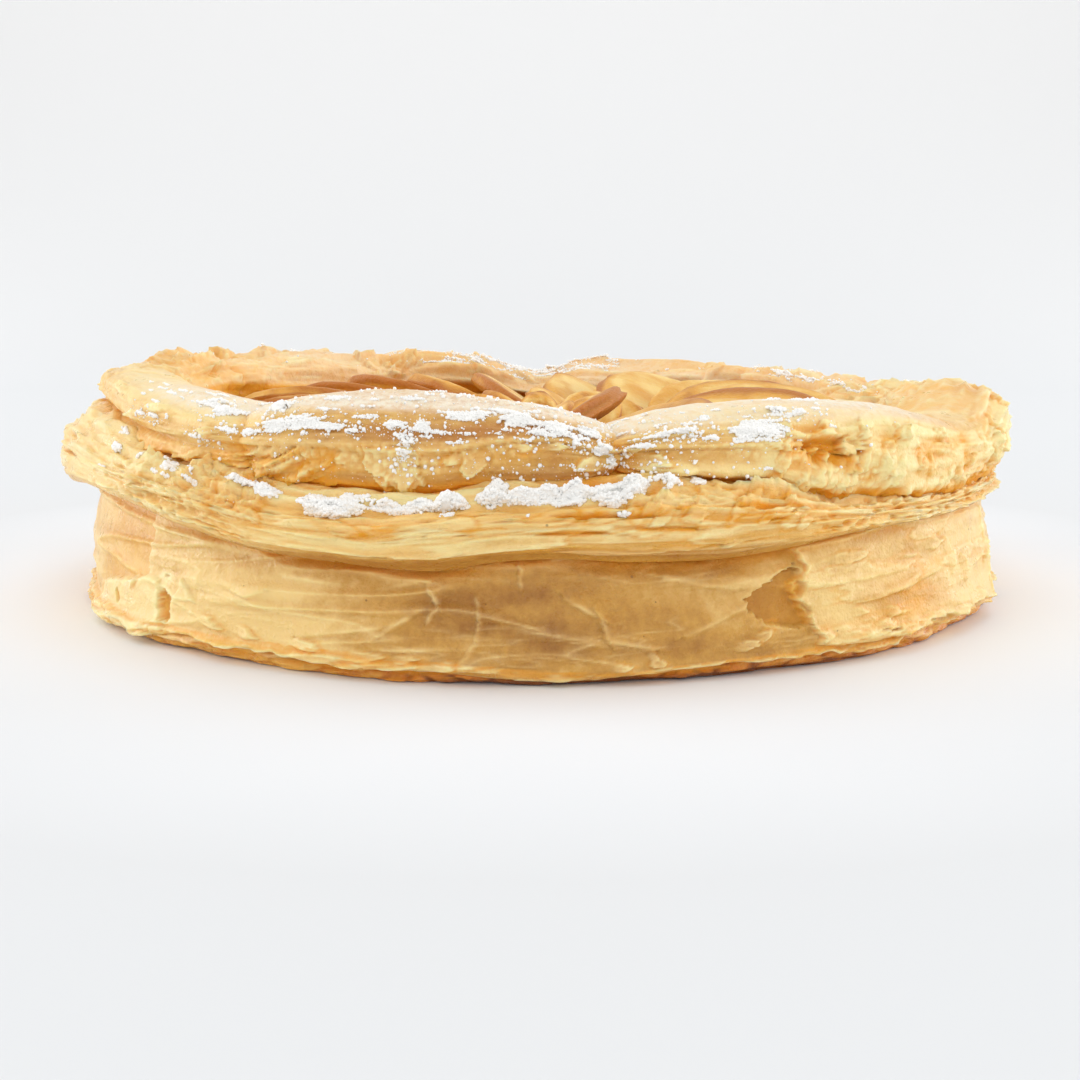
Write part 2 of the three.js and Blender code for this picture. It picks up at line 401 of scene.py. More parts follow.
# Where the rim is drawn in, as (degrees, how much of its thickness, half width in degrees).
PLEATS = [
    (8.3, 0.42, 9), (54, 0.05, 7), (96, 0.2, 8), (138, 0.2, 8), (176, 0.16, 7), (208, 0.2, 8), (250, 0.2, 7),
    (286, 0.16, 7), (328, 0.14, 6),
]


def wall_radius(angle, height):
    """The side wall: upright, rounded off at the table, and drawn in towards the groove."""
    share = np.clip(height / groove_height(angle), 0, 1.2)
    return WALL + 0.1 - 0.7 * np.exp(-share / 0.06) - 2.1 * share**2.8


# ---- Finishes ----


class Finish:
    """A material, and short ways to add its nodes. Colours are given as 0 to 255."""

    def __init__(self, name):
        self.material = bpy.data.materials.new(name)
        self.material.use_nodes = True
        self.tree = self.material.node_tree
        self.shader = self.tree.nodes["Principled BSDF"]
        self.spot = self.tree.nodes.new("ShaderNodeTexCoord").outputs["Object"]

    def node(self, kind, inputs=None, **settings):
        """A new node, with its settings, and what goes into its sockets."""
        made = self.tree.nodes.new(kind)
        for key, value in settings.items():
            setattr(made, key, value)
        for key, value in (inputs or {}).items():
            self.feed(made.inputs[key], value)
        return made

    def feed(self, socket, value):
        """Joins an output to a socket, or gives the socket a value."""
        if isinstance(value, bpy.types.NodeSocket):
            self.tree.links.new(value, socket)
        else:
            socket.default_value = value

    def shade(self, name):
        """A shade that was painted on the points of the mesh, by its name."""
        return self.node("ShaderNodeAttribute", attribute_name=name).outputs["Fac"]

    def noise(self, size, detail=3.0, roughness=0.55, stretch=(1, 1, 1)):
        """Noise whose lumps are about size mm."""
        where = self.node("ShaderNodeMapping", {"Vector": self.spot, "Scale": stretch}).outputs[0]
        settings = {"Vector": where, "Scale": 1 / (size * MM), "Detail": detail, "Roughness": roughness}
        return self.node("ShaderNodeTexNoise", settings).outputs["Fac"]

    def uneven(self, much, *noise):
        """Noise round 0, as high and as low as half of much."""
        return self.math("MULTIPLY", self.math("SUBTRACT", self.noise(*noise), 0.5), much)

    def dots(self, size, share):
        """1 inside small round dots, in about that share of cells of the given size in mm."""
        cell = self.node("ShaderNodeTexVoronoi", {"Vector": self.spot, "Scale": 1 / (size * MM)})
        near = self.math("LESS_THAN", cell.outputs["Distance"], 0.12)
        tone = self.node("ShaderNodeSeparateColor", {"Color": cell.outputs["Color"]}).outputs[0]
        return self.math("MULTIPLY", near, self.math("LESS_THAN", tone, share))

    def math(self, operation, a, b=0.0):
        """One sum of two numbers or outputs."""
        made = self.node("ShaderNodeMath", operation=operation)
        self.feed(made.inputs[0], a)
        self.feed(made.inputs[1], b)
        return made.outputs[0]

    def span(self, value, low, high):
        """0 at low, 1 at high."""
        made = self.node("ShaderNodeMapRange", {"Value": value, "From Min": low, "From Max": high})
        return made.outputs[0]

    def mix(self, share, a, b):
        """Colour a where share is 0, and b where it is 1."""
        made = self.node("ShaderNodeMix", data_type="RGBA", clamp_factor=True)
        for socket, value in ((0, share), (6, a), (7, b)):
            self.feed(made.inputs[socket], colour(value) if isinstance(value, tuple) else value)
        return made.outputs[2]

    def bump(self, *layers):
        """Layers are (height, distance in mm), one bump on another."""
        normal = None
        for height, distance in layers:
            made = self.node("ShaderNodeBump", {"Height": height, "Distance": distance * MM})
            if normal:
                self.feed(made.inputs["Normal"], normal)
            normal = made.outputs[0]
        self.feed(self.shader.inputs["Normal"], normal)

    def set(self, **sockets):
        """What goes into the shader, by its sockets' names."""
        for name, value in sockets.items():
            self.feed(self.shader.inputs[name.replace("_", " ")], value)


def colour(tone):
    """A colour given as 0 to 255 on a screen, as the light that it reflects."""
    light = [(c / 255 / 12.92) if c < 10 else ((c / 255 + 0.055) / 1.055) ** 2.4 for c in tone]
    return (*light, 1.0)


def glow(finish, weight, depth, green=0.88, blue=0.65):
    """Light that passes through pastry or fruit. Reds go depth mm deep, green and blue less."""
    finish.set(Subsurface_Weight=weight, Subsurface_Scale=depth * MM)
    finish.shader.inputs["Subsurface Radius"].default_value = (1.0, green, blue)


def pastry(name, pale, gold, brown, weight=0.7, depth=1.3, matt=0.45, grain=(1, 1, 1)):
    """Baked dough. Shades: bake (0 pale to 1 brown); thin (1 where a sheet is thin and dry, and painted
    highlights on ridges, creases and edges); a painted orange glow and shade in gaps and hollows, which
    stands for light that comes back through the dough; and dust (a film of sugar). grain stretches the
    finest streaks along the layers."""
    f = Finish(name)
    patchy, streaks = f.uneven(0.7, 4.5, 5), f.uneven(0.75, 1.2, 5, 0.68, grain)
    bake = f.math("ADD", f.math("ADD", f.shade("bake"), patchy), streaks)
    tone = f.mix(f.span(bake, 0.1, 0.55), pale, gold)
    tone = f.mix(f.span(bake, 0.55, 1.05), tone, brown)
    # Pale where a sheet is thin, and painted highlights on ridges, creases and edges.
    tone = f.mix(f.shade("thin"), tone, (255, 230, 168))
    # Painted orange glow and shade in gaps and hollows, standing for light that comes back through the dough.
    tone = f.mix(f.shade("deep"), tone, (242, 172, 54))
    dusty = f.math("MULTIPLY", f.shade("dust"), f.span(f.noise(0.7, 4), 0.1, 0.55))
    tone = f.mix(dusty, tone, (248, 234, 212))
    tone = f.mix(f.math("MULTIPLY", f.dots(1.1, 0.016), 0.5), tone, (110, 66, 40))
    f.set(Base_Color=tone, Roughness=f.span(f.noise(2.5), matt - 0.4, matt + 1.0), Specular_IOR_Level=0.35)
    glow(f, weight, depth)
    f.bump((f.noise(1.1, 5, 0.65, grain), 0.26), (f.noise(0.25, 2, 0.5, grain), 0.09))
    return f.material


def apple_flesh():
    """Baked apple: pale gold, browned along its peel edge and tips. Shade: bake."""
    f = Finish("baked_apple_flesh")
    bake = f.math("ADD", f.shade("bake"), f.uneven(0.6, 2.5))
    tone = f.mix(f.span(bake, 0.0, 0.45), (246, 212, 132), (230, 172, 78))
    tone = f.mix(f.span(bake, 0.5, 1.0), tone, (190, 120, 48))
    f.set(Base_Color=tone, Roughness=0.45, Specular_IOR_Level=0.3)
    glow(f, 0.5, 0.8)
    f.bump((f.noise(1.6, 5, 0.65), 0.35), (f.noise(0.4, 2), 0.08))
    return f.material


def stewed_apple():
    """Soft cooked apple: amber and glossy, and light goes deep into it."""
    f = Finish("stewed_apple")
    tone = f.mix(f.span(f.noise(4, 4), 0.3, 0.7), (196, 132, 58), (226, 176, 98))
    f.set(Base_Color=tone, Roughness=0.3)
    glow(f, 0.35, 3.0)
    f.bump((f.noise(2, 4), 0.4))
    return f.material


def icing_sugar():
    """White and quite matt, with a soft sheen, because its grains scatter light at a slant."""
    f = Finish("icing_sugar")
    f.set(Base_Color=colour((255, 254, 251)), Roughness=0.95, Specular_IOR_Level=0.1)
    f.set(Sheen_Weight=0.6, Sheen_Roughness=0.6)
    return f.material


# ---- The side wall ----

# Creases in the wall's skin: (degrees, height) at both ends, how high and how wide in mm.
CREASES = [
    (-10.9, 8.7, -9.7, 7.2, 0.26, 0.5), (-9.7, 7.2, -10.8, 5.8, 0.24, 0.45),
    (-6.0, 7.8, -5.5, 6.2, 0.2, 0.4), (-5.5, 6.2, -5.8, 4.2, 0.24, 0.4), (-5.8, 4.2, -7.2, 2.2, 0.2, 0.4),
    (3.0, 8.0, 5.9, 6.3, 0.28, 0.7), (5.9, 6.3, 6.9, 4.4, 0.4, 0.7), (6.9, 4.4, 11.2, 3.3, 0.22, 0.6),
    (-1.7, 11.2, -1.8, 9.2, 0.25, 0.35), (-15.4, 8.5, -10.9, 9.5, 0.18, 0.8),
    (-16.5, 3.9, -11.3, 6.9, 0.2, 0.8), (-15.5, 3.0, -6.8, 3.4, 0.14, 0.5),
    (-33.0, 7.2, -30.5, 6.9, 0.18, 0.5), (-30.5, 6.9, -28.5, 7.5, 0.18, 0.5),
    (-24.0, 3.7, -15.4, 5.1, 0.2, 0.8), (-26.4, 9.0, -20.9, 8.7, 0.16, 0.6),
    (14.5, 4.4, 21.0, 6.6, 0.2, 0.9), (36.0, 6.0, 50.0, 7.6, 0.2, 0.6),
    (-44.0, 11.5, -30.0, 10.6, 0.14, 0.9), (12.5, 9.6, 20.0, 8.4, 0.14, 0.8),
]


def crease_lines(angle, height):
    """Folds along straight lines over the wall: a steep side and a gentle one. Gives how far the
    skin stands out, and how near a point is to a fold's sharp line (0 to 1), for a painted highlight."""
    out, near = 0.0, 0.0
    wobble = 0.35 * rough(angle, height, 2.5, 71)
    patchy = 0.35 + 0.65 * ease(ripple(angle, height, 2.2, 72), -0.3, 0.6)
    for a, low, b, high, rise, width in CREASES:
        run = np.array([(b - a) * DEGREE, high - low])
        x = (signed_degrees(angle) - a) * DEGREE + wobble
        z = height - low
        t = np.clip((x * run[0] + z * run[1]) / (run @ run), 0, 1)
        far = np.hypot(x - t * run[0], z - t * run[1])
        steep = (x * run[1] - z * run[0]) > 0
        along = 0.6 + 0.4 * np.sin(math.pi * t)
        out = out + 2.0 * rise * along * swell(far, 0, np.where(steep, 0.35, 1.7) * width)
        near = np.maximum(near, along * swell(far, 0, 0.24) * patchy)
    return out, near


def torn_skin(angle, height):
    """How far inside the torn-off places a point is, in mm, and below 0 outside them: the panel
    at the left, the hole at the right, two nicks beside the panel, and a place behind."""
    panel_edge = -47.3
    degrees = signed_degrees(angle)
    warp = 0.7 * rough(angle, height, 3.0, 31, octaves=5)
    tatters = 0.4 * rough(angle, height, 1.3, 35)
    panel = np.minimum((panel_edge - degrees) * DEGREE, height - 7 - 0.17 * (degrees - panel_edge))
    panel = panel + 0.3 * warp
    panel = np.minimum(panel, 0.02 * (degrees + 61))
    corners = [(19.8, 7.6), (23.6, 4.9), (27, 3.9), (28.4, 4.4), (26.6, 9.9), (23.8, 8.8)]
    hole = outline(angle, height, corners) + 0.5 * warp + tatters
    nick = 0.55 - np.hypot((degrees + 54.4) * DEGREE * 1.1, 0.7 * (height - 3.9)) + warp * 0.2
    dent = 1.0 - np.hypot((degrees + 43.3) * DEGREE, (height - 5.0) * 0.7) + warp * 1.1 + tatters
    back = 2.2 - np.hypot((degrees - 150) * DEGREE * 0.6, height - 7) + warp
    return np.maximum.reduce([panel, hole, nick, dent, back])


def second_skin(angle, height):
    """How far inside the loose second skin at the right a point is, in mm. Its left edge is
    jagged, and its top edge climbs to the groove."""
    degrees = signed_degrees(angle)
    left = np.interp(height, [2.8, 5.2, 6.8, 8.5, 10, 11.7], [27.5, 26.4, 25.2, 24.9, 26.4, 25.8])
    jag = 0.55 * rough(angle, height, 2.0, 33, octaves=5)
    top = 11.7 + 0.09 * np.clip(degrees - 27, 0, 40) - height + 0.3 * jag
    sides = np.minimum(degrees * DEGREE - left, (66 - degrees) * DEGREE) + jag
    return np.minimum(sides, np.minimum(top, height - 2.4 + jag))


def left_flap(angle, height):
    """How far inside the flap of skin at the bottom left a point is, in mm, or inside the small
    chip beside it."""
    jag = rough(angle, height, 2.2, 124, octaves=5)
    flap = outline(angle, height, [(-64, 0.4), (-43, 0.4), (-44, 5.0), (-44.4, 7.1), (-46, 7.2), (-60, 4.6)])
    chip = outline(angle, height, [(-41.4, 5.4), (-37.8, 5.5), (-40.6, 7.6)])
    return np.maximum(flap + 0.27 * jag, chip + 0.09 * jag)


# Small loose flakes low on the wall and over the second skin, as for leaves.
WALL_FLAKES = [
    (29.5, 3.4, 1.6, 0.6, 12), (33, 2.9, 1.8, 0.6, 4), (37.5, 3.3, 2.2, 0.7, 8), (41.5, 2.7, 1.7, 0.55, 0),
    (34.5, 5.2, 1.5, 0.45, 5), (39, 4.6, 1.3, 0.4, -6), (47, 3.2, 1.9, 0.6, 6), (53, 2.8, 1.8, 0.6, 3),
    (52, 8.6, 1.2, 1.9, 20), (55.5, 6.9, 0.9, 1.5, 8), (59, 3.4, 1.8, 0.6, 0), (22.8, 3.9, 1.3, 0.45, 25),
    (20.6, 3.0, 1.2, 0.45, 10), (11.2, 2.6, 1.0, 0.6, -30), (7.8, 1.9, 1.0, 0.4, 0), (-13, 1.9, 1.5, 0.5, 5),
    (-17.5, 2.2, 1.6, 0.5, -4), (-8.8, 1.6, 1.2, 0.5, 0), (-24, 3.0, 1.8, 0.5, -6), (-31, 3.3, 1.6, 0.5, -10),
    (-36, 3.9, 1.5, 0.5, -12), (-50.5, 6.2, 1.3, 0.6, 30), (48.5, 10.2, 2.4, 0.7, 2), (33, 10.4, 2.6, 0.6, 3),
    (64, 6.2, 1.4, 0.8, 70), (67, 9.0, 1.3, 0.8, 60), (115, 3.0, 2.4, 0.7, 5), (128, 4.4, 2.0, 0.6, -6),
    (-98, 3.4, 2.2, 0.7, 8), (-121, 4.8, 2.6, 0.8, 4), (-150, 3.0, 2.4, 0.7, 0), (162, 8.4, 2.6, 0.8, 8),
]


def wall_shape(angle, height):
    """How far the wall's skin stands out from its plain radius, with its bake and thin shades, and a
    painted orange glow and shade in gaps: loose waves, creases, torn places, and torn layers low down and
    at the right. The thin shade also holds painted highlights."""
    degrees, groove = signed_degrees(angle), groove_height(angle)
    torn, second, flap = torn_skin(angle, height), second_skin(angle, height), left_flap(angle, height)
    inside, over, flapped = ease(torn, -0.08, 0.1), ease(second, -0.06, 0.1), ease(flap, -0.06, 0.1)
    rise, crease_highlight = crease_lines(angle, height)
    loose = 0.3 * ripple(angle, height, 15, 41, 1.6) + 0.22 * ripple(angle, height, 5.5, 42, 1.5)
    network = creased(angle, height, 7, 44, 1.4) ** 5 * ease(ripple(angle, height, 10, 45), -0.3, 0.5)
    wrinkle = creased(angle, height, 2.4, 46, 1.3) ** 3 * ease(ripple(angle, height, 6, 47), -0.1, 0.7)
    fold = creased(angle, height, 8, 49, 1.6) ** 2 * (1 - 0.7 * over)
    reach = 3.4 - 1.6 * sector(angle, 4, 18) + 0.8 * ripple(angle, 0, 9, 48)
    level = 0.05 + 1.3 * ease(height, reach - 1.6, reach)
    layers, upper, lower = plies(angle, height, 3, 2.0, 131, 1.2, level, 0.2)
    aside = np.clip(over + ease(np.abs(degrees), 84, 90), 0, 1)
    broad, broad_upper, broad_lower = plies(angle, height, 2, 7.0, 161, 0.9, 1.4 - 0.95 * aside, 0.1, 6)
    flakes, flake_upper, flake_lower = leaves(angle, height, WALL_FLAKES, 171, 0.26)

    out = loose + 0.26 * network + 0.12 * wrinkle * (1 - over) + 0.04 * rough(angle, height, 1.8, 43) + rise
    out = out * (1 - 0.8 * inside) + 0.5 * fold - 1.7 * sector(angle, -86, 26) * ease(12 - height, 0, 9)
    out = out - 0.75 * inside + 0.5 * over * (1 + 0.5 * swell(second, 0.15, 0.35)) + 0.3 * flapped
    out = out + layers + broad + flakes

    window = sector(angle, 43, 6) * swell(height, 5.5, 2.6)
    bake = 0.68 + 0.16 * ripple(angle, height, 9, 61) + 0.14 * ripple(angle, height, 3, 62)
    bake = bake + 0.3 * ease(2.2 - height, 0, 1.6) + 0.15 * ease(height, groove - 1, groove)
    # Darker in the torn places, most in the hole at the right: partly the layer beneath, partly painted shade
    # in the hole.
    bake = bake + (0.08 + 0.3 * sector(angle, 24, 6)) * inside - 0.4 * over + 0.3 * window
    bake = bake - 0.3 * sector(angle, -25, 9) * swell(height, 5, 3.5)
    # Paler towards the left and the right, where the sides glow in the light: painted light.
    for middle, width, paler in ((-40, 27, 0.5), (72, 22, 0.25), (-72, 16, 0.3)):
        bake = bake - paler * sector(angle, middle, width)
    # Painted orange glow and shade: in the torn places and the amber window, under the edges of the torn
    # layers and flakes, in the gap under the lip, and beside the loose skin's edge.
    deep = 0.3 * inside + 0.5 * inside * sector(angle, -47, 11) * ease(6.5 - height, 0, 1) + 0.35 * window
    deep = deep + 0.6 * lower + 0.3 * broad_lower + 0.35 * flake_lower
    deep = deep + 0.4 * swell(height, groove, 0.5) + 0.5 * swell(second, -0.1, 0.15)
    # Pale where the skin is thin, and painted highlights: along the creases, on the ridges of folds and
    # wrinkles, and on the upper edges of torn layers, flakes and the loose skin.
    thin = 0.55 * crease_highlight + 0.3 * fold**2 + 0.35 * network + 0.22 * wrinkle + 0.6 * swell(second, 0.12, 0.2)
    thin = thin + 0.5 * flake_upper + 0.45 * upper + 0.4 * broad_upper
    thin = thin + (0.35 * flapped + 0.4 * swell(flap, 0.15, 0.3) + 0.1 * swell(torn, -0.15, 0.2)) * (1 - over)
    thin = thin + 0.9 * sector(angle, -44, 3) * ease(torn, -1.2, -0.1)
    return out, bake, np.clip(thin * (1 - 0.8 * inside), 0, 0.9), np.clip(deep, 0, 1)


def wall_lower_edge(angle):
    """How high the skin's torn lower edge is: near the table at the front and at the left."""
    middle = sector(angle, 3, 17)
    ragged = (1 - 0.7 * middle) * (0.5 * ripple(angle, 0, 7, 51) + 0.6 * rough(angle, 0, 2.4, 52, octaves=5))
    return (2.0 - 1.5 * middle + ragged) * (1 - 0.85 * sector(angle, -66, 22))


def side_wall(finish):
    """A closed ring. Its outer side is a fine grid from the torn lower edge to the groove, and it
    comes back down 1.6 mm further in."""
    angle = steps_round(1400)
    lower = np.clip(wall_lower_edge(angle), 0.15, 4)
    height = lower + (groove_height(angle) + 0.5 - lower) * np.linspace(0, 1, 66)[None, :]
    above = height - lower
    curl = 0.35 * ease(1.0 - above, 0, 1.0) * (0.4 + 1.1 * ripple(angle, 0, 4, 53))
    curl = (1 - sector(angle, -76, 22)) * curl - 0.3 * swell(above, 0, 0.12)
    out, bake, thin, deep = wall_shape(angle, height)
    radius = wall_radius(angle, height) + out + curl
    back = place(angle, radius[:, [-1, 0]] - [2.2, 1.6], height[:, [-1, 0]] + [0, 0.3])
    points = np.concatenate([place(angle, radius, height), back], 1)
    # Pale along the skin's torn lower edge: a thin edge, with a painted highlight on it.
    thin = np.clip(thin + 0.4 * ease(0.5 - above, 0, 0.5), 0, 0.9)
    shades = {"bake": with_back(bake), "thin": with_back(thin), "deep": with_back(deep)}
    piece("side_wall", ring(points), finish, "puff_pastry", ("crust",), **shades)


def with_back(shade):
    """A shade of the outer side, carried on to the two points at the back of each row."""
    return np.concatenate([shade, shade[:, [-1, 0]]], 1).ravel()


def base_crust(finish):
    """The browned bottom: flat underneath, with a rough rounded edge, closed at the middle."""
    angle = steps_round(1200)
    profile = [(1, 0), (25, 0), (46, 0), (51, 0), (52.0, 0), (52.7, 0.05)]
    profile += [(52.7 + 0.8 * math.sin(t), 1.25 - 1.2 * math.cos(t)) for t in np.linspace(0.2, 2.6, 16)]
    profile += [(52.2, 2.6), (50.5, 3.1), (30, 3.2), (1, 3.2)]
    radius, height = np.array(profile).T[:, None, :]
    edge = ease(radius, 51.3, 53.0) * np.ones_like(angle)
    stand, mark = shingles(angle, height + 0.2 * radius, 5, 0.9, 81)
    pillow = cells(angle + 0.02 * ripple(angle, height, 3, 86), height, 4.2, 1.4, 85)[0]
    small = rough(angle, height, 1.5, 87, 1.5)
    bumps = 0.35 * rough(angle, height, 5, 82) + 0.45 * (stand - 0.5) + 0.3 * ease(pillow, 0, 0.35)
    bumps = bumps + 0.45 * small - 0.15
    lift = 0.3 * np.clip(ripple(angle, 0, 7, 83), 0, 1) * ease(0.8 - height, 0, 0.8)
    points = place(angle, radius + edge * bumps, height + edge * lift)
    bake = 0.35 + 0.3 * mark + 0.3 * ripple(angle, height, 6, 84) + 0.35 * ease(0.8 - height, 0, 0.8)
    bake = bake + 0.4 * ease(0.12 - pillow, 0, 0.12)
    for middle, width, darker in ((3, 18, 0.5), (-62, 30, -0.8), (60, 34, -0.35), (-30, 16, -0.3)):
        bake = bake + darker * sector(angle, middle, width)
    # Painted highlights on the tops of the small bumps, and painted orange glow and shade between them.
    thin = 0.5 * ease(small, 0.35, 0.7) * ease(height, 0.6, 1.2) * (1 - sector(angle, 3, 22))
    deep = 0.7 * ease(-small, 0.1, 0.5) * ease(height, 0.3, 0.9)
    with_ends = lambda value, end: np.append(np.broadcast_to(value, edge.shape), [end, end])
    shades = {"bake": with_ends(bake, 0.7), "thin": with_ends(thin, 0), "deep": with_ends(deep, 0)}
    piece("base_crust", turned(points), finish, "puff_pastry", **shades)


# ---- The lip ----


def fluff(angle):
    """Where the layers stand open: the front left, the right, and two places at the back."""
    return np.clip(sector(angle, -42, 12) + 0.8 * sector(angle, 46, 16) + sector(angle, 140, 20)
                   + sector(angle, 225, 18), 0, 1)


def round_power(wave, power):
    """A sine or cosine raised to a power, with its sign kept: it squares off a round section."""
    return np.sign(wave) * np.abs(wave) ** power


def lip_point(angle, across):
    """A point on the lip's plain surface. across is in mm, from -6 under it, by 0 half way up its
    face, over its shoulder and up the sloping ledge to 6 at the foot of the rim. The ledge's back
    is filled in, least at the front."""
    turn = across / LIP_SPAN * math.pi / 2
    low, high, drop = groove_height(angle), ledge_height(angle), shoulder_drop(angle)
    middle, half = (low + high - drop) / 2, (high - drop - low) / 2
    radius = WALL - LIP_OVERLAP + (lip_reach(angle) + LIP_OVERLAP) * round_power(np.cos(turn), 0.6)
    filled = 1.1 * ease(across, 3.2, LIP_SPAN) * (1 - 0.6 * sector(angle, -3, 24))
    rise = drop * ease(across, 1.5, 5.5) + filled
    return place(angle, radius, middle + half * round_power(np.sin(turn), 0.75) + rise)


# Long thin plates round the lip's face, and small pale leaves on the ledge.
LIP_PLATES = [
    (-33, 0.2, 7.0, 0.9, 186), (-26, -1.4, 6.0, 0.7, 184), (-22, 1.0, 6.0, 0.8, 3),
    (-14, -0.4, 8.0, 0.9, 0), (-7, 1.1, 5.5, 0.7, 4), (-2, -0.6, 6.5, 0.8, 2), (4, 0.8, 6.0, 0.8, -2),
    (10, -0.9, 7.5, 0.9, 1), (15, 0.7, 6.0, 0.9, 184), (21, -0.4, 6.5, 0.8, 182), (28, 0.9, 5.0, 0.8, 178),
    (36, -0.7, 6.0, 0.7, 184), (-44, 0.9, 5.0, 0.8, 0), (-52, -0.8, 6.0, 0.8, 3), (100, 0.6, 8.0, 0.9, 0),
    (115, -0.6, 7.0, 0.8, 3), (-100, 0.4, 8.0, 0.9, 0), (-118, -0.7, 7.0, 0.8, 182),
    (160, 0.5, 8.0, 0.9, 182), (-165, -0.2, 8.0, 0.8, 2),
]
LEDGE_LEAVES = [
    *scattered_leaves(262, 30, (-47, -29, 0.6, 4.6), (1.4, 2.8), (0.35, 0.65), (10, 80)),
    *scattered_leaves(263, 24, (9, 28, 0.8, 4.8), (1.1, 2.2), (0.4, 0.8), (140, 240)),
    (11.5, 2.4, 1.7, 0.7, 200), (13.5, 3.6, 1.6, 0.6, 170), (15.6, 2.2, 1.9, 0.7, 215),
    (17.6, 3.4, 1.8, 0.7, 160), (19.5, 2.2, 1.7, 0.6, 225), (21.6, 3.1, 2.0, 0.7, 190),
    (24.2, 2.0, 1.8, 0.6, 200), (26.6, 3.0, 1.6, 0.6, 170), (-29, 2.1, 1.6, 0.6, 330),
    (-32, 3.2, 1.7, 0.6, 10), (-35.5, 2.2, 1.8, 0.6, 320), (-39, 3.1, 1.7, 0.7, 0),
    (-8, 2.0, 2.2, 0.6, 350), (1.5, 1.9, 2.4, 0.6, 5), (-19, 1.9, 2.2, 0.6, 345), (6.5, 2.0, 1.8, 0.6, 190),
]


def lip_shape(angle, across):
    """How far the lip's surface stands out, with its bake and thin shades, and a painted orange glow and
    shade in gaps. Low down it is a smooth roll, above that long thin plates, and where it stands open a
    torn crumb."""
    degrees = signed_degrees(angle)
    open_left = fluff(angle) * ease(across, -3.5, -1.5 + 0.8 * ripple(angle, 0, 6, 235))
    open_right = ease(degrees, 24, 34) * ease(112 - degrees, 0, 20)
    open_right = open_right * ease(across, -2.4, -0.6 + 0.8 * ripple(angle, 0, 5, 236))
    opened = np.maximum(open_left, open_right)
    plain = 1 - 0.85 * opened
    start = -0.9 + 0.7 * ripple(angle, 0, 12, 201)
    level = 0.15 + 1.25 * ease(-across, -start, 0.7 - start)
    layers, upper, lower = plies(angle, across, 2, 2.2, 240, 3.0, level, 0.12)
    open_level = 1.3 - 1.15 * np.clip(0.9 * opened + ease(across, 0.3, 2.3), 0, 1)
    torn, torn_upper, torn_lower = plies(angle, across, 4, 1.5, 290, 1.9, open_level, 0.22)
    lumpy, lumpy_upper, lumpy_lower = sponge(angle, across, 281)
    plate, plate_upper, plate_lower = leaves(angle, across - 0.5, LIP_PLATES, 251, 0.2, 0.35)
    leaf, leaf_upper, leaf_lower = leaves(angle, across, LEDGE_LEAVES, 261, 0.24, 0.22)
    _, mark, off_u, off_v = cells(angle, across + 0.3 * ripple(angle, across, 6, 222), 7, 1.5, 221)
    slit = ease(0.14 * (1 - 4 * off_u**2) - np.abs(off_v), -0.06, 0.06) * ease(mark, 0.78, 0.84)
    slit = slit * ease(across, start, 0.5) * plain

    out = 0.22 * ripple(angle, across, 10, 231, 2.0) + 0.14 * ripple(angle, across, 4, 237, 1.6)
    out = out + 0.06 * rough(angle, across, 2.2, 232, 2.5) + plain * layers + 0.75 * torn
    out = out + opened * (0.8 * lumpy - 0.5) - 0.6 * slit + plate + leaf

    face, roll = ease(across, -2.5, -0.5), ease(-across, 0.2, 1.6)
    bake = 0.5 + 0.2 * ripple(angle, across, 7, 233, 2) - 0.3 * ease(across, start, start + 1)
    bake = bake + (0.4 + 0.3 * sector(angle, -22, 12)) * roll * (1 - 0.7 * sector(angle, -60, 30))
    bake = bake - 0.65 * open_left - 0.25 * sector(angle, -70, 30) - 0.35 * open_right
    # Pale where the dough is thin and where it is torn open, with painted highlights on the upper edges of
    # layers, plates and leaves.
    thin = (0.45 + 0.15 * sector(angle, -4, 24)) * plain * upper * face + 0.5 * torn_upper
    thin = thin + 0.6 * opened * lumpy_upper + 0.65 * open_left
    thin = thin + 0.5 * (plate_upper + leaf_upper + 2.8 * leaf) * face
    thin = thin + 0.35 * sector(angle, -62, 20) * ease(across, -1, 1)
    thin = thin + 0.45 * sector(angle, -6, 32) * ease(across, 0.4, 2.2)
    # Painted orange glow and shade: in the slits, under the edges of layers, plates and leaves, in the pits
    # of the open crumb, under the lip, and in the gap at the rim's foot.
    deep = 0.8 * slit + 0.45 * plain * lower * (1 - 0.45 * sector(angle, -6, 30)) + 0.35 * torn_lower
    deep = deep + (0.3 + 0.2 * open_right) * opened * lumpy_lower + 0.4 * (plate_lower + leaf_lower)
    deep = deep * (1 - 0.5 * sector(angle, -62, 24)) + 0.7 * ease(-across, 3.2, 4.6)
    deep = deep + (0.8 - 0.6 * sector(angle, -66, 24)) * ease(across, 4.8, 5.8)
    return out, bake, np.clip(thin, 0, 1), np.clip(deep, 0, 1)


def lip_body(finish):
    """A closed ring: from under the lip, over its face, and in over the ledge."""
    angle = steps_round(1300)
    across = np.linspace(-5.9, 5.9, 72)[None, :]
    across = across - 0.35 * np.sin(across / 5.9 * math.pi)
    out, bake, thin, deep = lip_shape(angle, across)
    turn = across / LIP_SPAN * math.pi / 2
    points = lip_point(angle, across) + place(angle, out * np.cos(turn), out * np.sin(turn))
    back = np.concatenate([ledge_height(angle) - 0.3, groove_height(angle)], 1)
    shape = ring(np.concatenate([points, place(angle, 46.0, back)], 1))
    shades = {"bake": with_back(bake), "thin": with_back(thin), "deep": with_back(deep)}
    piece("lip", shape, finish, "puff_pastry", **shades)


# ---- The folded rim ----


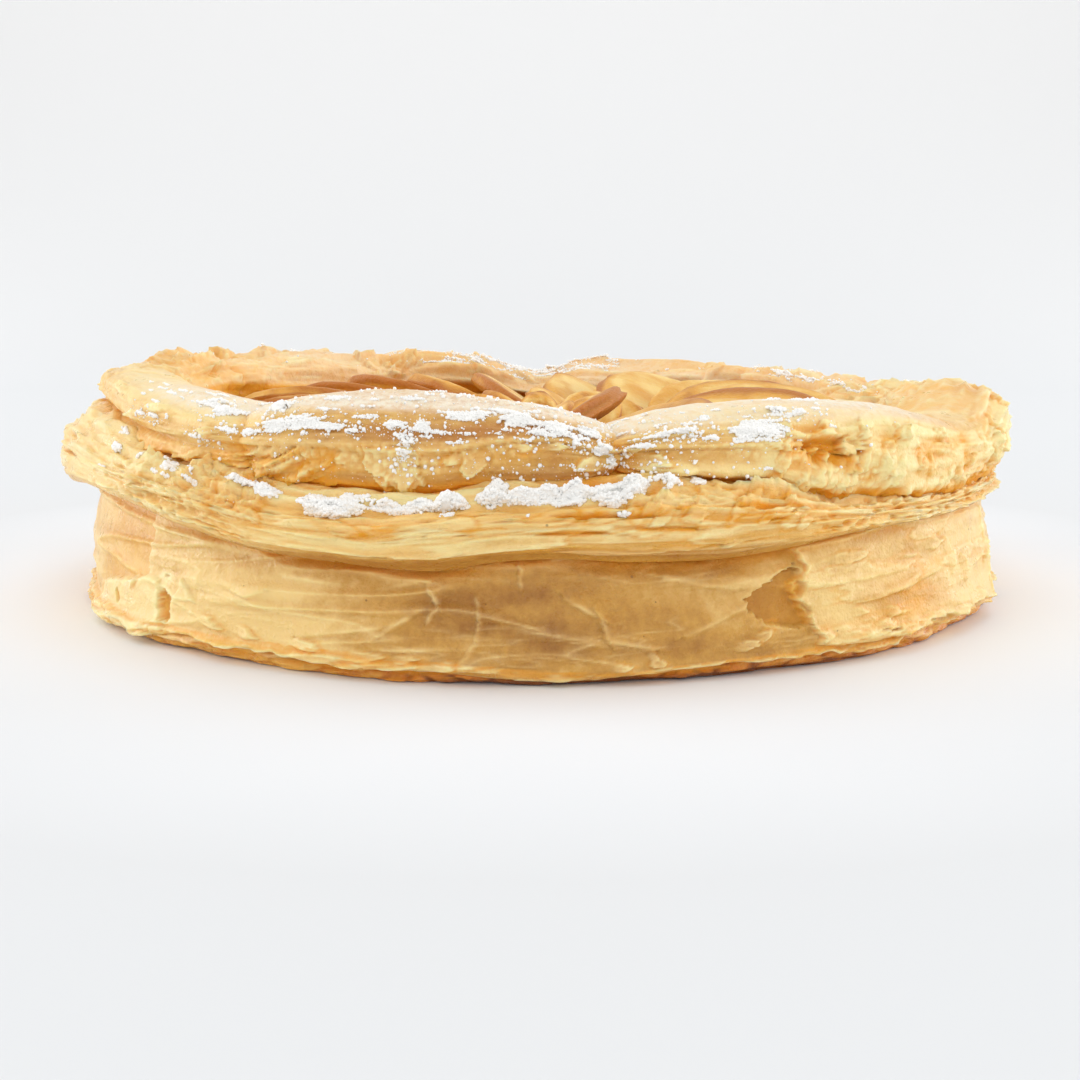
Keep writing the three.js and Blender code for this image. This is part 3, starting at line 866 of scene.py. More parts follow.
def lobe_section(angle, around, swelling=1.0):
    """A point on the rolled-in rim: a squared oval that stands on the ledge. around is 0 at its
    outer side and goes up over the crest; swelling is 1 in a lobe's middle, and less at its ends."""
    foot, crest = ledge_height(angle) - RIM_SINK, crest_height(angle)
    outer, inner = WALL + fold_reach(angle), WALL - RIM_WIDTH
    radius = (outer + inner) / 2 + (outer - inner) / 2 * round_power(np.cos(around), BOXY) * swelling
    height = (foot + crest) / 2 + (crest - foot) / 2 * round_power(np.sin(around), BOXY) * swelling
    return radius, height


def lobe_point(angle, across):
    """A point on the rim's plain surface; across is in mm from its outer side, up over the crest."""
    radius, height = lobe_section(angle, across / LOBE_MM, drawn_in(angle)[0])
    return place(angle, radius, height)


skin_line = round_curve([
    (-60, -0.5), (-34, 0.3), (-24, 0.1), (-15, 0.0), (-8, 0.4), (-3, 1.2), (2, 1.9), (7, 1.5), (14, 1.2),
    (30, 1.0), (90, 0.8), (180, 1.0), (-100, 0.8),
])


def skin_edge(angle):
    """Where the rim's smooth top skin ends on its outer face, in mm up from its outer side."""
    return skin_line(angle) + 0.35 * rough(angle, 0, 7, 301, octaves=5)


def crumb_place(angle, across):
    """1 where the rim is torn open to its crumb: the outer face at the right front."""
    where = ease(signed_degrees(angle), 21, 27) * ease(104 - signed_degrees(angle), 0, 22)
    return where * ease(across, -8, -6) * ease(4.2 - across + 1.0 * ripple(angle, 0, 5, 300), 0, 1.2)


CRUMB_FEATHERS = [
    *scattered_leaves(346, 44, (23.5, 41, -6, 0.6), (1.0, 2.3), (0.35, 0.65), (45, 80)),
    *scattered_leaves(347, 52, (36, 66, -6, 3.2), (0.9, 1.9), (0.5, 1.0), (20, 120)),
    (34.2, 1.8, 1.8, 0.9, 215), (31.0, 2.9, 1.5, 0.5, 190), (27.0, 1.2, 1.0, 0.6, 20),
]
FAR_LEAVES = scattered_leaves(366, 84, (84, 282, -3, 14), (1.4, 3.6), (0.6, 1.5), (0, 360))
RIM_FLAKES = [
    (-6.3, -0.9, 1.7, 1.1, 250), (-15.6, -2.0, 1.5, 0.8, 300), (-13.2, -2.6, 1.2, 0.8, 280),
    (-19.5, -0.6, 1.3, 0.5, 200), (-23.5, -1.4, 1.6, 0.5, 215), (-25.5, -3.0, 1.8, 0.5, 220),
    (-28.2, -1.0, 1.6, 0.5, 225), (-29.5, -3.4, 1.6, 0.5, 205), (-31.5, -2.0, 1.5, 0.5, 210),
    (5.4, -0.6, 1.4, 0.8, 200), (8.4, 0.6, 1.7, 0.8, 10), (11.5, -0.4, 1.5, 0.6, 350),
    (7.0, 1.8, 1.3, 0.7, 190), (24.2, 1.6, 1.8, 0.6, 330), (26.4, 3.2, 1.6, 0.7, 320),
    (31.5, 3.6, 1.7, 0.7, 200), (36.5, 4.0, 1.8, 0.7, 240), (41.5, 3.4, 1.7, 0.7, 250),
    (66, 3.6, 2.2, 1.1, 245), (73, 4.8, 2.0, 0.9, 230), (78, 6.4, 1.8, 0.8, 215), (62, 0.6, 1.6, 0.7, 260),
    (69.5, 0.2, 1.7, 0.7, 250), (-45, 3.4, 2.0, 0.6, 190), (-52, 1.0, 1.8, 0.6, 195),
    (-58, 3.8, 2.0, 0.7, 170), (-39.5, -2.0, 2.2, 0.6, 200), (-46.5, -2.6, 2.4, 0.6, 185),
    (-56, -2.4, 2.2, 0.6, 180), (-36, 1.6, 1.8, 0.6, 205), (-1.5, 0.6, 1.2, 0.4, 350),
    (-8.2, -0.5, 1.2, 0.4, 190), (1.8, 1.2, 1.0, 0.4, 10),
]


def rim_shape(angle, across):
    """How far the rim's surface stands out from the plain oval, with its bake, thin and dust shades,
    and a painted orange glow and shade in gaps. The thin shade also holds painted highlights."""
    degrees, edge = signed_degrees(angle), skin_edge(angle)
    left_side, right_side = sector(angle, -86, 20), sector(angle, 86, 20)
    behind = ease(np.abs(degrees), 66, 110)
    lumpy = behind * (1 - 0.75 * right_side - 0.6 * left_side)
    face = ease(edge - across, 0, 0.25)
    left = sector(angle, -64, 28) * ease(4.5 - across, 0, 1.5)

    # The torn crumb: strands that slant down to the left, finer at the front, and one deep hole.
    torn = crumb_place(angle, across)
    whole = 1 - torn
    soft, soft_upper, soft_lower = sponge(angle - 0.3 * across / WALL, across, 341, 1.7)
    slanting = angle - 0.58 * across / WALL
    coarse = ease(degrees, 33, 46)
    strand = (1 - coarse) * rough(slanting, 0.3 * across, 1.2, 342)
    strand = torn * (strand + coarse * rough(slanting, 0.45 * across, 2.4, 343, octaves=5))
    feather, feather_upper, feather_lower = leaves(angle, across, CRUMB_FEATHERS, 345, 0.2, 0.25)
    feathered = np.clip(feather / 0.2, 0, 1)
    hole = 1.6 * (1 - np.hypot((degrees - 31.2) * DEGREE / 4.0, (across - 1.1) / 1.6))
    hole = ease(hole + 0.35 * rough(angle, across, 1.6, 344), -0.08, 0.35) * (1 - 0.8 * feathered)

    # Leaves and layers, most of them at the left and behind.
    flake, flake_upper, flake_lower = leaves(angle, across, RIM_FLAKES, 355, 0.32, 0.35)
    leaf, leaf_upper, leaf_lower = leaves(angle, across, FAR_LEAVES, 365, 0.5, 0.4)
    leaf = leaf * (1 - 0.6 * right_side - 0.5 * left_side)
    layered = 0.35 * left + sector(angle, -28, 7) * face
    layered = layered + 0.9 * behind * (0.7 + 0.3 * ripple(angle, 0, 20, 324))
    layered = layered + 0.85 * sector(angle, 82, 22) * ease(across, -1, 3)
    level = 1.4 - 1.3 * np.clip(layered, 0, 1)
    slanted = across - 0.35 * WALL * np.radians(degrees) * sector(angle, -28, 30)
    layers, upper, lower = plies(angle, slanted, 5, 1.7, 331, 1.9, level, 0.2, 5)

    # The front lobes: a torn rag and a square flap, bubbles along the skin's edge, and fine folds.
    rag = outline(angle, across, [(-17.6, 0.8), (-17, -1.2), (-12.6, -3.4), (-11, -2.6), (-12, 0.6)])
    rag = rag + 0.55 * rough(angle, across, 1.7, 363)
    ragged = ease(rag, -0.03, 0.1)
    flap = outline(angle, across, [(-4.9, -5.4), (-0.9, -5.2), (-0.3, 1.2), (-4.3, 1.4)])
    flap = ease(flap + 0.3 * rough(angle, across, 1.8, 362), 0, 0.25)
    near_edge = swell(across, edge - 0.6, 1.3) * whole * ease(ripple(angle, across, 5, 318), -0.5, 0.3)
    bubble = ease(cells(angle, across, 0.9, 0.8, 317)[0], 0.05, 0.3) * near_edge
    folds = ease(creased(angle, 0.15 * across, 6, 319, 0.7), 0.5, 1.0) * face * whole
    wrinkle = creased(angle, across, 3.0, 314, 3.5) ** 2 + 0.8 * creased(angle, across, 2.0, 374, 1.5) ** 2
    wrinkle = wrinkle * whole
    pillow = 1 - np.hypot((degrees - 13) * DEGREE / 3.3, (across + 1.7) / 1.3)
    pillow = ease(pillow + 0.1 * rough(angle, across, 3, 371), 0, 0.5)
    roll = swell(across, -1.7, 1.2) * sector(angle, 19.5, 7) * whole

    # Where the rim is drawn in: a groove along its sides, gathers, and gaps at the ledge.
    groove = swell(across, -0.3 + 0.8 * ripple(angle, 0, 12, 315), 0.8)
    groove = groove * (sector(angle, -60, 25) + 0.7 * sector(angle, 190, 30))
    gathers = creased(angle, 0.3 * across, 7, 316, 0.8) ** 3
    gathers = 0.6 * gathers * (sector(angle, -68, 16) + 0.6 * sector(angle, 75, 8))
    gap = (sector(angle, 15, 9) + sector(angle, -41, 9)) * swell(across, -4.4, 1.5)
    gap = gap + 0.6 * sector(angle, -20, 6) * swell(across, -4.0, 1.0)

    out = (0.35 + 0.5 * lumpy) * ripple(angle, across, 13, 311, 1.4)
    out = out + (0.16 + 0.75 * lumpy) * ripple(angle, across, 6, 312)
    out = out + (0.1 + 0.45 * lumpy) * rough(angle, across, 3.2, 313, 1.3, 5)
    out = out + layers + feather + flake + leaf + 0.12 * wrinkle - 1.3 * groove - 0.7 * gathers
    out = out + 0.7 * left * swell(across, -3.0, 1.8)
    out = out + 0.5 * sector(angle, -84, 26) * swell(across, -3.4, 2.2)
    out = out + torn * (0.1 * soft - 0.15 - 0.3 * sector(angle, 32, 6)) + 0.2 * left * soft
    out = out + 0.55 * strand - 1.5 * hole
    out = np.where(out > 1, 1 + np.tanh(out - 1), out)
    out = out + 0.75 * pillow + 0.8 * roll + 0.22 * bubble - 0.22 * folds - 0.35 * gap + 0.2 * flap
    out = out - 0.6 * face * whole + 0.45 * ragged * (0.7 + 0.5 * swell(rag, 0.1, 0.3))

    bake = 0.4 + 0.22 * ripple(angle, across, 8, 321) + 0.2 * rough(angle, across, 3, 322, 2.0)
    bake = bake + 0.6 * swell(across, edge + 1.2, 1.2) * sector(angle, -8, 24)
    bake = bake + 0.15 * swell(across, edge + 1.6, 2.0) * sector(angle, -6, 20)
    bake = bake + 0.2 * face * (whole * sector(angle, -6, 26) + ease(-across, 0, 4))
    # Darker in the hole: its amber, with painted shade. Paler on the pillow and the satin roll: partly their
    # own pale colour, partly a painted highlight.
    bake = bake + 0.5 * hole - 0.75 * torn - 0.6 * pillow - 0.3 * roll - 0.15 * near_edge
    bake = bake - 0.3 * sector(angle, 17, 9) * swell(across, -1.8, 1.8)
    # Behind, uneven, and darker on the far rim's inner face: painted shade.
    bake = bake + behind * (0.3 * ripple(angle, across, 9, 325) + 0.2 * ease(np.abs(across), 11, 15) - 0.15)
    bake = bake - 0.18 * sector(angle, -66, 34) - 0.2 * sector(angle, 75, 26)
    bake = bake - 0.35 * sector(angle, 68, 24) * ease(across, 2, 5)
    bake = bake + 0.9 * sector(angle, 72, 2.5) * swell(across, 7.5, 1.3)

    # Pale thin edges, and painted highlights: on the pillow and the roll, bubbles, wrinkles and strands, on
    # the upper edges of layers, leaves, flakes and feathers, and along the skin's edge.
    thin = 0.6 * pillow + 0.15 * roll + 0.35 * bubble + 0.2 * wrinkle + 0.4 * ragged
    thin = thin + 0.4 * upper + 0.5 * leaf_upper + 0.6 * flake_upper + 1.2 * flake
    thin = thin + 0.9 * ease(strand, 0.02, 0.35) + 0.5 * feather_upper + 0.8 * feathered
    thin = thin + (0.15 * torn + 0.3 * left) * soft_upper + 0.35 * behind * ease(across, 8, 11)
    thin = thin + 0.5 * sector(angle, 71, 5) * swell(across, 4.2, 1.8)
    thin = thin + 0.35 * swell(across, edge + 0.1, 0.22) * whole + 0.5 * ragged * swell(rag, 0.15, 0.25)

    # Painted orange glow and shade: low on the face by the ledge, in the groove, gathers, hole and gaps,
    # between strands, under the edges of feathers, flakes, leaves and layers, by the skin's edge and round
    # the rag.
    deep = 0.95 * face * ease(-across, 2.1, 3.6) + 0.35 * groove + 0.3 * gathers + hole + gap
    deep = deep + 0.55 * ease(-strand, 0.05, 0.4) + 0.4 * feather_lower + 0.04 * torn * (1 - feathered)
    deep = deep + 0.14 * left * soft_lower + 0.6 * flake_lower + 0.5 * leaf_lower
    deep = deep * (1 - 0.7 * left) + 0.6 * lower * whole * (1 - 0.4 * left) + 0.3 * near_edge * (1 - bubble)
    deep = deep + 0.75 * sector(angle, -50, 9) * swell(across, -3.4, 1.5)
    deep = deep + 0.5 * (1 - ragged) * swell(rag, -0.08, 0.15)

    at_side = ease(np.abs(degrees), 36, 60) * ease(140 - np.abs(degrees), 0, 40)
    dust = 1.05 * ease(across - 0.8 * sector(angle, -1, 12), 3.4, 5.8)
    dust = dust * (0.85 + 0.4 * ripple(angle, across, 6, 323))
    dust = dust * whole * (1 - 0.9 * at_side) * (1 - 0.6 * ease(np.abs(degrees), 100, 130))
    return out, bake, *(np.clip(shade, 0, 1) for shade in (thin, deep, dust))


def drawn_in(angle):
    """How full the rim is, 1 or less: at each pleat it narrows like the gap between two cushions.
    Also how near a point is to a pleat's line (0 to 1)."""
    full, line = 1.0, 0.0
    for middle, depth, width in PLEATS:
        off = np.abs(signed_degrees(angle, middle)) / width
        full = full - depth * (1 - np.sqrt(1 - (1 - np.clip(off, 0, 1)) ** 2))
        line = np.maximum(line, swell(off, 0, 0.12))
    return full, line


def rim(finish):
    """The folded rim: a closed ring. Its points are closest together at the front, and on its
    outer face. Over the torn crumb what stands out also leans down to the left."""
    even = np.linspace(-0.5, 0.5, 96, endpoint=False)[None, :] * TURN
    around = even - 0.45 * np.sin(even - 0.1)
    angle = steps_round(1030, 0.48)
    full, line = drawn_in(angle + 0.012 * ripple(angle, around * LOBE_MM, 5, 351))
    out, bake, thin, deep, dust = rim_shape(angle, around * LOBE_MM)
    # Painted orange glow and shade along the pleats.
    deep = np.clip(deep + 0.4 * line, 0, 1)
    lean = 0.2 * crumb_place(angle, around * LOBE_MM) * (out + 0.6)
    angle, around = angle - lean / WALL, around - lean / LOBE_MM
    radius, height = lobe_section(angle, around, full)
    shape = ring(place(angle, radius + out * np.cos(around), height + out * np.sin(around)))
    shades = {"bake": bake.ravel(), "thin": thin.ravel(), "deep": deep.ravel(), "dust": dust.ravel()}
    piece("rim", shape, finish, "puff_pastry", **shades)


def case_inside(finish):
    """The case behind the lip and under the rim, down to the fruit: a closed ring."""
    angle = np.linspace(0, TURN, 360, endpoint=False)[:, None]
    profile = [(50.5, 3.2), (51.5, 10), (51.0, 15), (50.5, 19.0), (47, 21.0), (44.8, 20.5), (44.6, 14)]
    radius, height = np.array(profile + [(45.4, 3.2)]).T[:, None, :]
    shape = ring(place(angle, radius + 0.4 * ripple(angle, height, 7, 401), height))
    # Painted orange glow and shade over all of it, under the rim.
    piece("case_inside", shape, finish, "puff_pastry", bake=0.6, thin=0.0, deep=0.8)


# ---- The fruit ----


def slice_frame(node):
    """Where a slice lies, from its solid: its middle, and unit vectors along its length (outwards),
    across it (towards its raised peel edge) and through it, with its size along each."""
    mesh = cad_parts[node].data
    points = np.empty(len(mesh.vertices) * 3)
    mesh.vertices.foreach_get("co", points)
    points = np.unique(np.round(points.reshape(-1, 3) / MM, 3), axis=0) - AXIS
    middle = (points.max(0) + points.min(0)) / 2
    along, across, _ = np.linalg.svd(points - points.mean(0))[2]
    along = along * np.sign(along @ (middle * [1, 1, 0]) + 1e-9)
    across = across * np.sign(across[2] + 1e-9)
    through = np.cross(along, across)
    basis = np.stack([along, across, through])
    local = (points - middle) @ basis.T
    return middle, basis, local.max(0) - local.min(0)


# How much darker than the others the slices at the front notch are baked.
SCORCHED = {"apple_slice_outer_01": 0.65, "apple_slice_outer_02": 0.3, "apple_slice_outer_18": 0.3}


def apple_slices(finish):
    """Each slice is a wedge bent to a crescent: thick along its peel edge, which stands up, and
    thin along its core edge. A grid runs from tip to tip, and round the wedge's section."""
    names = sorted(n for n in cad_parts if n.startswith(("apple_slice", "apple_nub")))
    t = np.sin(np.linspace(-1.5, 1.5, 48))[:, None]
    around = np.linspace(0, TURN, 36, endpoint=False)[None, :]
    plump = (1 - np.abs(t) ** 2.6) ** 0.5
    wedge = 0.75 + 0.45 * np.cos(around)
    across = plump * round_power(np.cos(around), 0.8)
    through = plump**0.7 * round_power(np.sin(around), 0.7) * wedge
    bodies, bakes = [], []
    for k, name in enumerate(names):
        middle, basis, size = slice_frame(name)
        curl = 0.14 * size[0] * (t * t - 0.35)
        lump = ripple(t * 0.35 + 0.7 * k, around * 2, 9, 500 + k)
        fine = rough(t * 0.35 + 0.7 * k, around * 2, 2.5, 530 + k)
        local = (t * size[0] / 2, across * size[1] / 2.3 - curl, through * size[2] / 2.3)
        local = np.stack(np.broadcast_arrays(*local), -1)
        bodies.append(middle + local * (1 + 0.06 * lump + 0.045 * fine)[..., None] @ basis)
        edge = ease(np.cos(around) + 0.25 * lump, 0.75, 1.1) + 0.6 * ease(np.abs(t) + 0.08 * lump, 0.8, 1.0)
        bake = 0.15 + SCORCHED.get(name, 0) + 0.45 * fine + 0.3 * np.abs(lump) + 0.75 * edge
        bakes.append(np.append(bake, [0.9, 0.9]))
    shape = pods(np.array(bodies))
    piece("apple_slices", shape, finish, "baked_apple", tuple(names), bake=np.concatenate(bakes))


def apple_bed(finish):
    """The cooked apple: a lumpy top that meets the case all round, closed at the middle."""
    angle = np.linspace(0, TURN, 300, endpoint=False)[:, None]
    share = np.linspace(0.02, 1, 60)[None, ::-1]
    border, mark, _, _ = cells(angle, BED_RADIUS * share, 6.5, 6, 601)
    level = bed_high[2] - 1.4 * share**2 + 1.2 * ease(border, 0, 0.3) * mark - 0.9
    lower = place(angle, np.array([[1.0, 20.0, 43.0, BED_RADIUS]]), np.array([[3.8, 3.8, 3.8, 6.0]]))
    upper = place(angle, BED_RADIUS * share, level)
    shape = turned(np.concatenate([lower, upper], 1))
    piece("apple_bed", shape, finish, "cooked_apple", ("apple_filling",))


# ---- Icing sugar ----


def ball():
    """A round ball of 20 triangles: an icosahedron, each face between three nearest corners."""
    gold = (1 + 5**0.5) / 2
    corners = [(a, b * gold, 0) for a in (-1, 1) for b in (-1, 1)]
    corners = corners + [(0, a, b) for a, b, _ in corners] + [(b, 0, a) for a, b, _ in corners]
    points = np.array(corners, float)
    points /= np.linalg.norm(points[0])
    far = np.linalg.norm(points[:, None] - points[None], axis=-1)
    near = (far > 0.1) & (far < far[far > 0.1].min() * 1.01)
    faces = [(i, j, k) for i in range(12) for j in range(i + 1, 12) for k in range(j + 1, 12)
             if near[i, j] and near[j, k] and near[i, k]]
    faces = [(i, j, k) if np.linalg.det(points[[i, j, k]]) > 0 else (i, k, j) for i, j, k in faces]
    return points, np.array(faces)


def lumps(centres, sizes, seed):
    """Irregular little balls of sugar, each a ball whose corners are pushed in and out."""
    points, faces = ball()
    draw = np.random.default_rng(seed)
    turn = np.linalg.qr(draw.normal(size=(len(centres), 3, 3)))[0]
    turn = turn * np.sign(np.linalg.det(turn))[:, None, None]
    uneven = draw.uniform(0.7, 1.3, (len(centres), len(points), 1))
    shape = (points[None] * uneven) @ turn * sizes[:, None, None]
    step = (np.arange(len(centres)) * len(points))[:, None, None]
    return (shape + centres[:, None]).reshape(-1, 3), [(faces[None] + step).reshape(-1, 3)]


def powder(angle, along, seed):
    """Clumpy unevenness of about 0 to 1: rounded lumps of several sizes on each other."""
    heaps = 0.42 + 0.38 * ripple(angle, along, 2.4, seed) + 0.5 * ripple(angle, along, 1.0, seed + 1)
    fine = sum(0.13 * (1 - 1.6 * np.abs(ripple(angle, along, size, seed + 7))) for size in (0.9, 0.5))
    return np.clip(heaps + fine, 0, 1.3)


def sprinkled(angle, across, places):
    """How much sugar lies at a point: the most that any of the named places gives it. A place is
    (degrees, mm across, half length round the tart, half width across, amount)."""
    degrees, amount = signed_degrees(angle), 0.0
    for middle, level, wide, tall, much in places:
        off = ((degrees - middle) * DEGREE / wide) ** 2 + ((across - level) / tall) ** 2
        amount = np.maximum(amount, much * np.exp(-off))
    return amount


def sugar_cover(angle, across, amount, seed):
    """How far inside the sugar a point is, and below 0 outside it, past its lacy edge."""
    lacy = 0.45 * rough(angle, across, 2.0, seed + 5, octaves=3)
    lacy = lacy + 0.5 * rough(angle, across, 0.8, seed + 9, octaves=2)
    return 1.6 * (1.1 * amount + lacy - 0.75)


def sugar_thickness(angle, across, amount, height, seed):
    """How thick the sugar lies, in mm: clumpy, more where there is more of it, thin at its edge."""
    cover = sugar_cover(angle, across, amount, seed)
    clumpy = 0.1 + powder(angle, across, seed)
    return height * np.clip(amount, 0, 1.7) ** 1.6 * clumpy * ease(cover, -0.1, 0.35)


def sugar_crust(surface, relief, angle, across, amount, height, seed, bare):
    """A layer of icing sugar, torn to islands where its amount is low, and left out where the
    cover is less than bare."""
    cover = sugar_cover(angle, across, amount, seed) - bare
    thick = sugar_thickness(angle, across, amount, height, seed)
    return sheets(surface, angle, across, cover, relief(angle, across) + thick, thick + 0.3)


def sugar_grains(surface, relief, limits, amounts, height, seed, count, sizes, scatter=0.15):
    """Grains and small clumps of sugar, heaped where there is much of it and scattered a little
    beyond. Places over the limits (degrees and mm across) are drawn until count are kept, more
    often where there is more."""
    draw = np.random.default_rng(seed)
    start, stop, low, high = limits
    tries = 40 * count
    angle, across = np.radians(draw.uniform(start, stop, tries)), draw.uniform(low, high, tries)
    amount = amounts(angle, across)
    cover = sugar_cover(angle, across, amount, seed)
    chance = ease(cover, -scatter, 0.25) ** 2 * (1 - 0.6 * ease(cover, 0.5, 0.9))
    kept = np.flatnonzero(draw.random(tries) < chance)[:count]
    angle, across, amount = angle[kept], across[kept], amount[kept]
    here, out = outwards(surface, angle, across)
    rise = relief(angle, across) + sugar_thickness(angle, across, amount, height, seed)
    size = sizes[0] + (sizes[1] - sizes[0]) * draw.random(len(angle)) ** 2
    return lumps(here + out * rise[:, None], size, seed + 1)


def ledge_across(back):
    """How far across the lip a point of the ledge is, back mm in from the lip's shoulder."""
    return 2.4 + 0.95 * np.clip(back, -1.5, 3.6)


def ledge_point(angle, back):
    """A point on the ledge, back mm in from the lip's shoulder and up the slope towards the rim."""
    return lip_point(angle, ledge_across(back))


# Where sugar lies on the ledge and on the rim, as for sprinkled.
LEDGE_SUGAR = [
    (-31.5, 1.9, 2.0, 0.4, 0.9), (-27.8, 1.7, 1.5, 0.4, 0.95), (-22.0, 1.3, 1.5, 0.55, 1.2),
    (-19.6, 0.9, 1.8, 0.6, 1.25), (-14.6, 1.5, 1.6, 0.3, 0.85), (-11.0, 1.6, 1.5, 0.4, 1.0),
    (-8.2, 1.3, 1.6, 0.6, 1.2), (-4.0, 1.7, 1.2, 0.9, 1.6), (-1.4, 1.4, 1.6, 0.5, 1.05),
    (1.2, 1.7, 1.0, 0.35, 0.85), (3.4, 1.4, 1.2, 0.8, 1.4), (6.8, 1.2, 1.3, 0.7, 1.3),
    (8.9, 1.6, 1.2, 0.9, 1.5), (12.6, 2.0, 1.5, 0.35, 0.9), (15.6, 2.2, 1.0, 0.3, 0.85),
    (-47, 1.6, 1.6, 0.4, 0.95), (-41.8, 1.5, 1.8, 0.45, 1.0), (-37.4, 1.5, 0.8, 0.4, 0.9),
    (-53, 1.6, 1.3, 0.4, 0.85),
]
RIM_SUGAR = [
    (-30.5, 1.9, 1.6, 0.5, 1.0), (-27.5, 2.5, 1.9, 0.7, 1.2), (-24.0, 2.8, 2.1, 0.75, 1.3),
    (-20.8, 2.3, 1.7, 0.6, 1.2), (-18.3, 1.8, 1.0, 0.4, 1.0), (-27.6, 4.7, 1.2, 0.9, 1.0),
    (-14.6, 2.3, 0.9, 0.6, 1.0), (-13.2, 1.8, 0.9, 0.6, 1.0), (-11.2, 2.7, 0.7, 0.9, 1.0),
    (-12.6, 0.9, 0.5, 0.6, 0.9), (-13.0, -0.2, 0.4, 0.6, 0.85), (-7.0, 4.3, 1.7, 0.7, 1.0),
    (-1.8, 4.0, 1.6, 1.1, 1.0), (0.2, 2.6, 0.8, 0.6, 0.85), (2.4, 3.2, 1.1, 0.8, 0.85),
    (4.8, 4.2, 1.0, 1.0, 0.85), (7.6, -0.4, 0.7, 1.2, 1.2), (10.4, -0.9, 1.4, 0.35, 1.0),
    (6.2, 1.2, 0.8, 0.8, 1.0), (3.8, 2.0, 0.6, 0.5, 0.75), (-13, 1.0, 0.5, 0.6, 0.7),
    (10.4, 1.6, 1.0, 0.6, 0.8), (12.6, 3.0, 1.1, 0.7, 0.8), (15.0, 3.2, 1.6, 0.8, 1.0),
    (22.3, 3.2, 2.8, 1.1, 1.5), (16.8, 2.4, 1.2, 0.5, 0.8), (25.5, 5.8, 1.6, 0.8, 0.9),
    (28, 5.4, 1.5, 0.6, 0.8), (-38, 6.0, 2.2, 0.9, 0.9), (-35.4, 4.6, 1.4, 0.7, 0.9),
    (-33.6, 2.2, 1.2, 0.6, 0.9), (-49.6, 1.6, 1.6, 0.5, 0.8), (-46, 2.0, 1.4, 0.5, 0.8),
    (-37.6, 0.6, 1.2, 0.6, 0.8),
]


def sugar(finish):
    """Icing sugar: heaps along the ledge, patches on the rim, a dusting behind, and loose grains."""
    shelf = lambda angle, back: lip_shape(angle, ledge_across(back))[0]
    relief = lambda angle, across: rim_shape(angle, across)[0]

    def ledge_amount(angle, back):
        """The places on the ledge, and a thin streak along it."""
        degrees = signed_degrees(angle)
        streak = 0.46 * swell(back, 1.5, 0.5) * ease(degrees, -36, -33) * ease(16 - degrees, 0, 2)
        return sprinkled(angle, back, LEDGE_SUGAR) + streak

    def rim_amount(angle, across):
        """The places on the rim, and a film over it that is thicker at the front."""
        film = 0.25 * ease(across, 0, 5) + 0.2 * sector(angle, -2, 16) * swell(across, 2, 4)
        return sprinkled(angle, across, RIM_SUGAR) + film

    angle, back = grid_over(-60, 22, -0.6, 3.2, 0.16)
    heaps = sugar_crust(ledge_point, shelf, angle, back, ledge_amount(angle, back), 0.9, 702, 0.2)
    limits, sizes = (-60, 22, -0.8, 3.4), (0.05, 0.24)
    grains = sugar_grains(ledge_point, shelf, limits, ledge_amount, 0.9, 702, 9200, sizes, 0.4)
    piece("sugar_heaps", joined([heaps, grains]), finish, "puff_pastry")
    angle, across = grid_over(-56, 34, -1.5, 9, 0.17)
    patches = sugar_crust(lobe_point, relief, angle, across, rim_amount(angle, across), 0.4, 712, 0.5)
    limits, sizes = (-56, 34, -1.5, 9), (0.05, 0.17)
    grains = sugar_grains(lobe_point, relief, limits, rim_amount, 0.4, 712, 9400, sizes, 0.15)
    piece("sugar_patches", joined([patches, grains]), finish, "puff_pastry")
    behind = lambda angle, across: 0.7 * ease(ripple(angle, across, 9, 722), 0.0, 1.0)
    limits, sizes = (98, 262, 2, 13), (0.05, 0.2)
    grains = sugar_grains(lobe_point, relief, limits, behind, 0.25, 723, 7000, sizes, 0.6)
    piece("sugar_behind", grains, finish, "puff_pastry")
    draw = np.random.default_rng(701)
    count = 3000
    degrees, level, wide, tall, _ = np.array(RIM_SUGAR)[draw.integers(0, len(RIM_SUGAR), count)].T
    loose = draw.random(count) < 0.4
    anywhere = draw.normal(-2, 16, count)
    degrees = np.where(loose, anywhere, degrees + draw.normal(0, 1.2, count) * wide / DEGREE)
    anywhere = draw.uniform(-3, 9, count)
    level = np.where(loose, anywhere, level + draw.normal(0, 1.2, count) * tall)
    angle = np.radians(degrees)
    here, out = outwards(lobe_point, angle, level)
    size = 0.03 + 0.2 * draw.random(count) ** 4
    grains = lumps(here + out * (relief(angle, level) + 0.4 * size)[:, None], size, 713)
    piece("sugar_specks", grains, finish, "puff_pastry")


# ---- The studio ----


def soft_light(name, where, aim, size, power, tint=(1, 1, 1)):
    """A square soft light at where, turned to shine at aim. Metres and watts."""
    lamp = bpy.data.lights.new(name, "AREA")
    lamp.shape = "SQUARE"
    lamp.size, lamp.energy, lamp.color = size, power, tint
    holder = bpy.data.objects.new(name, lamp)
    holder.location = where
    holder.rotation_euler = (Vector(aim) - Vector(where)).to_track_quat("-Z", "Y").to_euler()
    bpy.context.scene.collection.objects.link(holder)


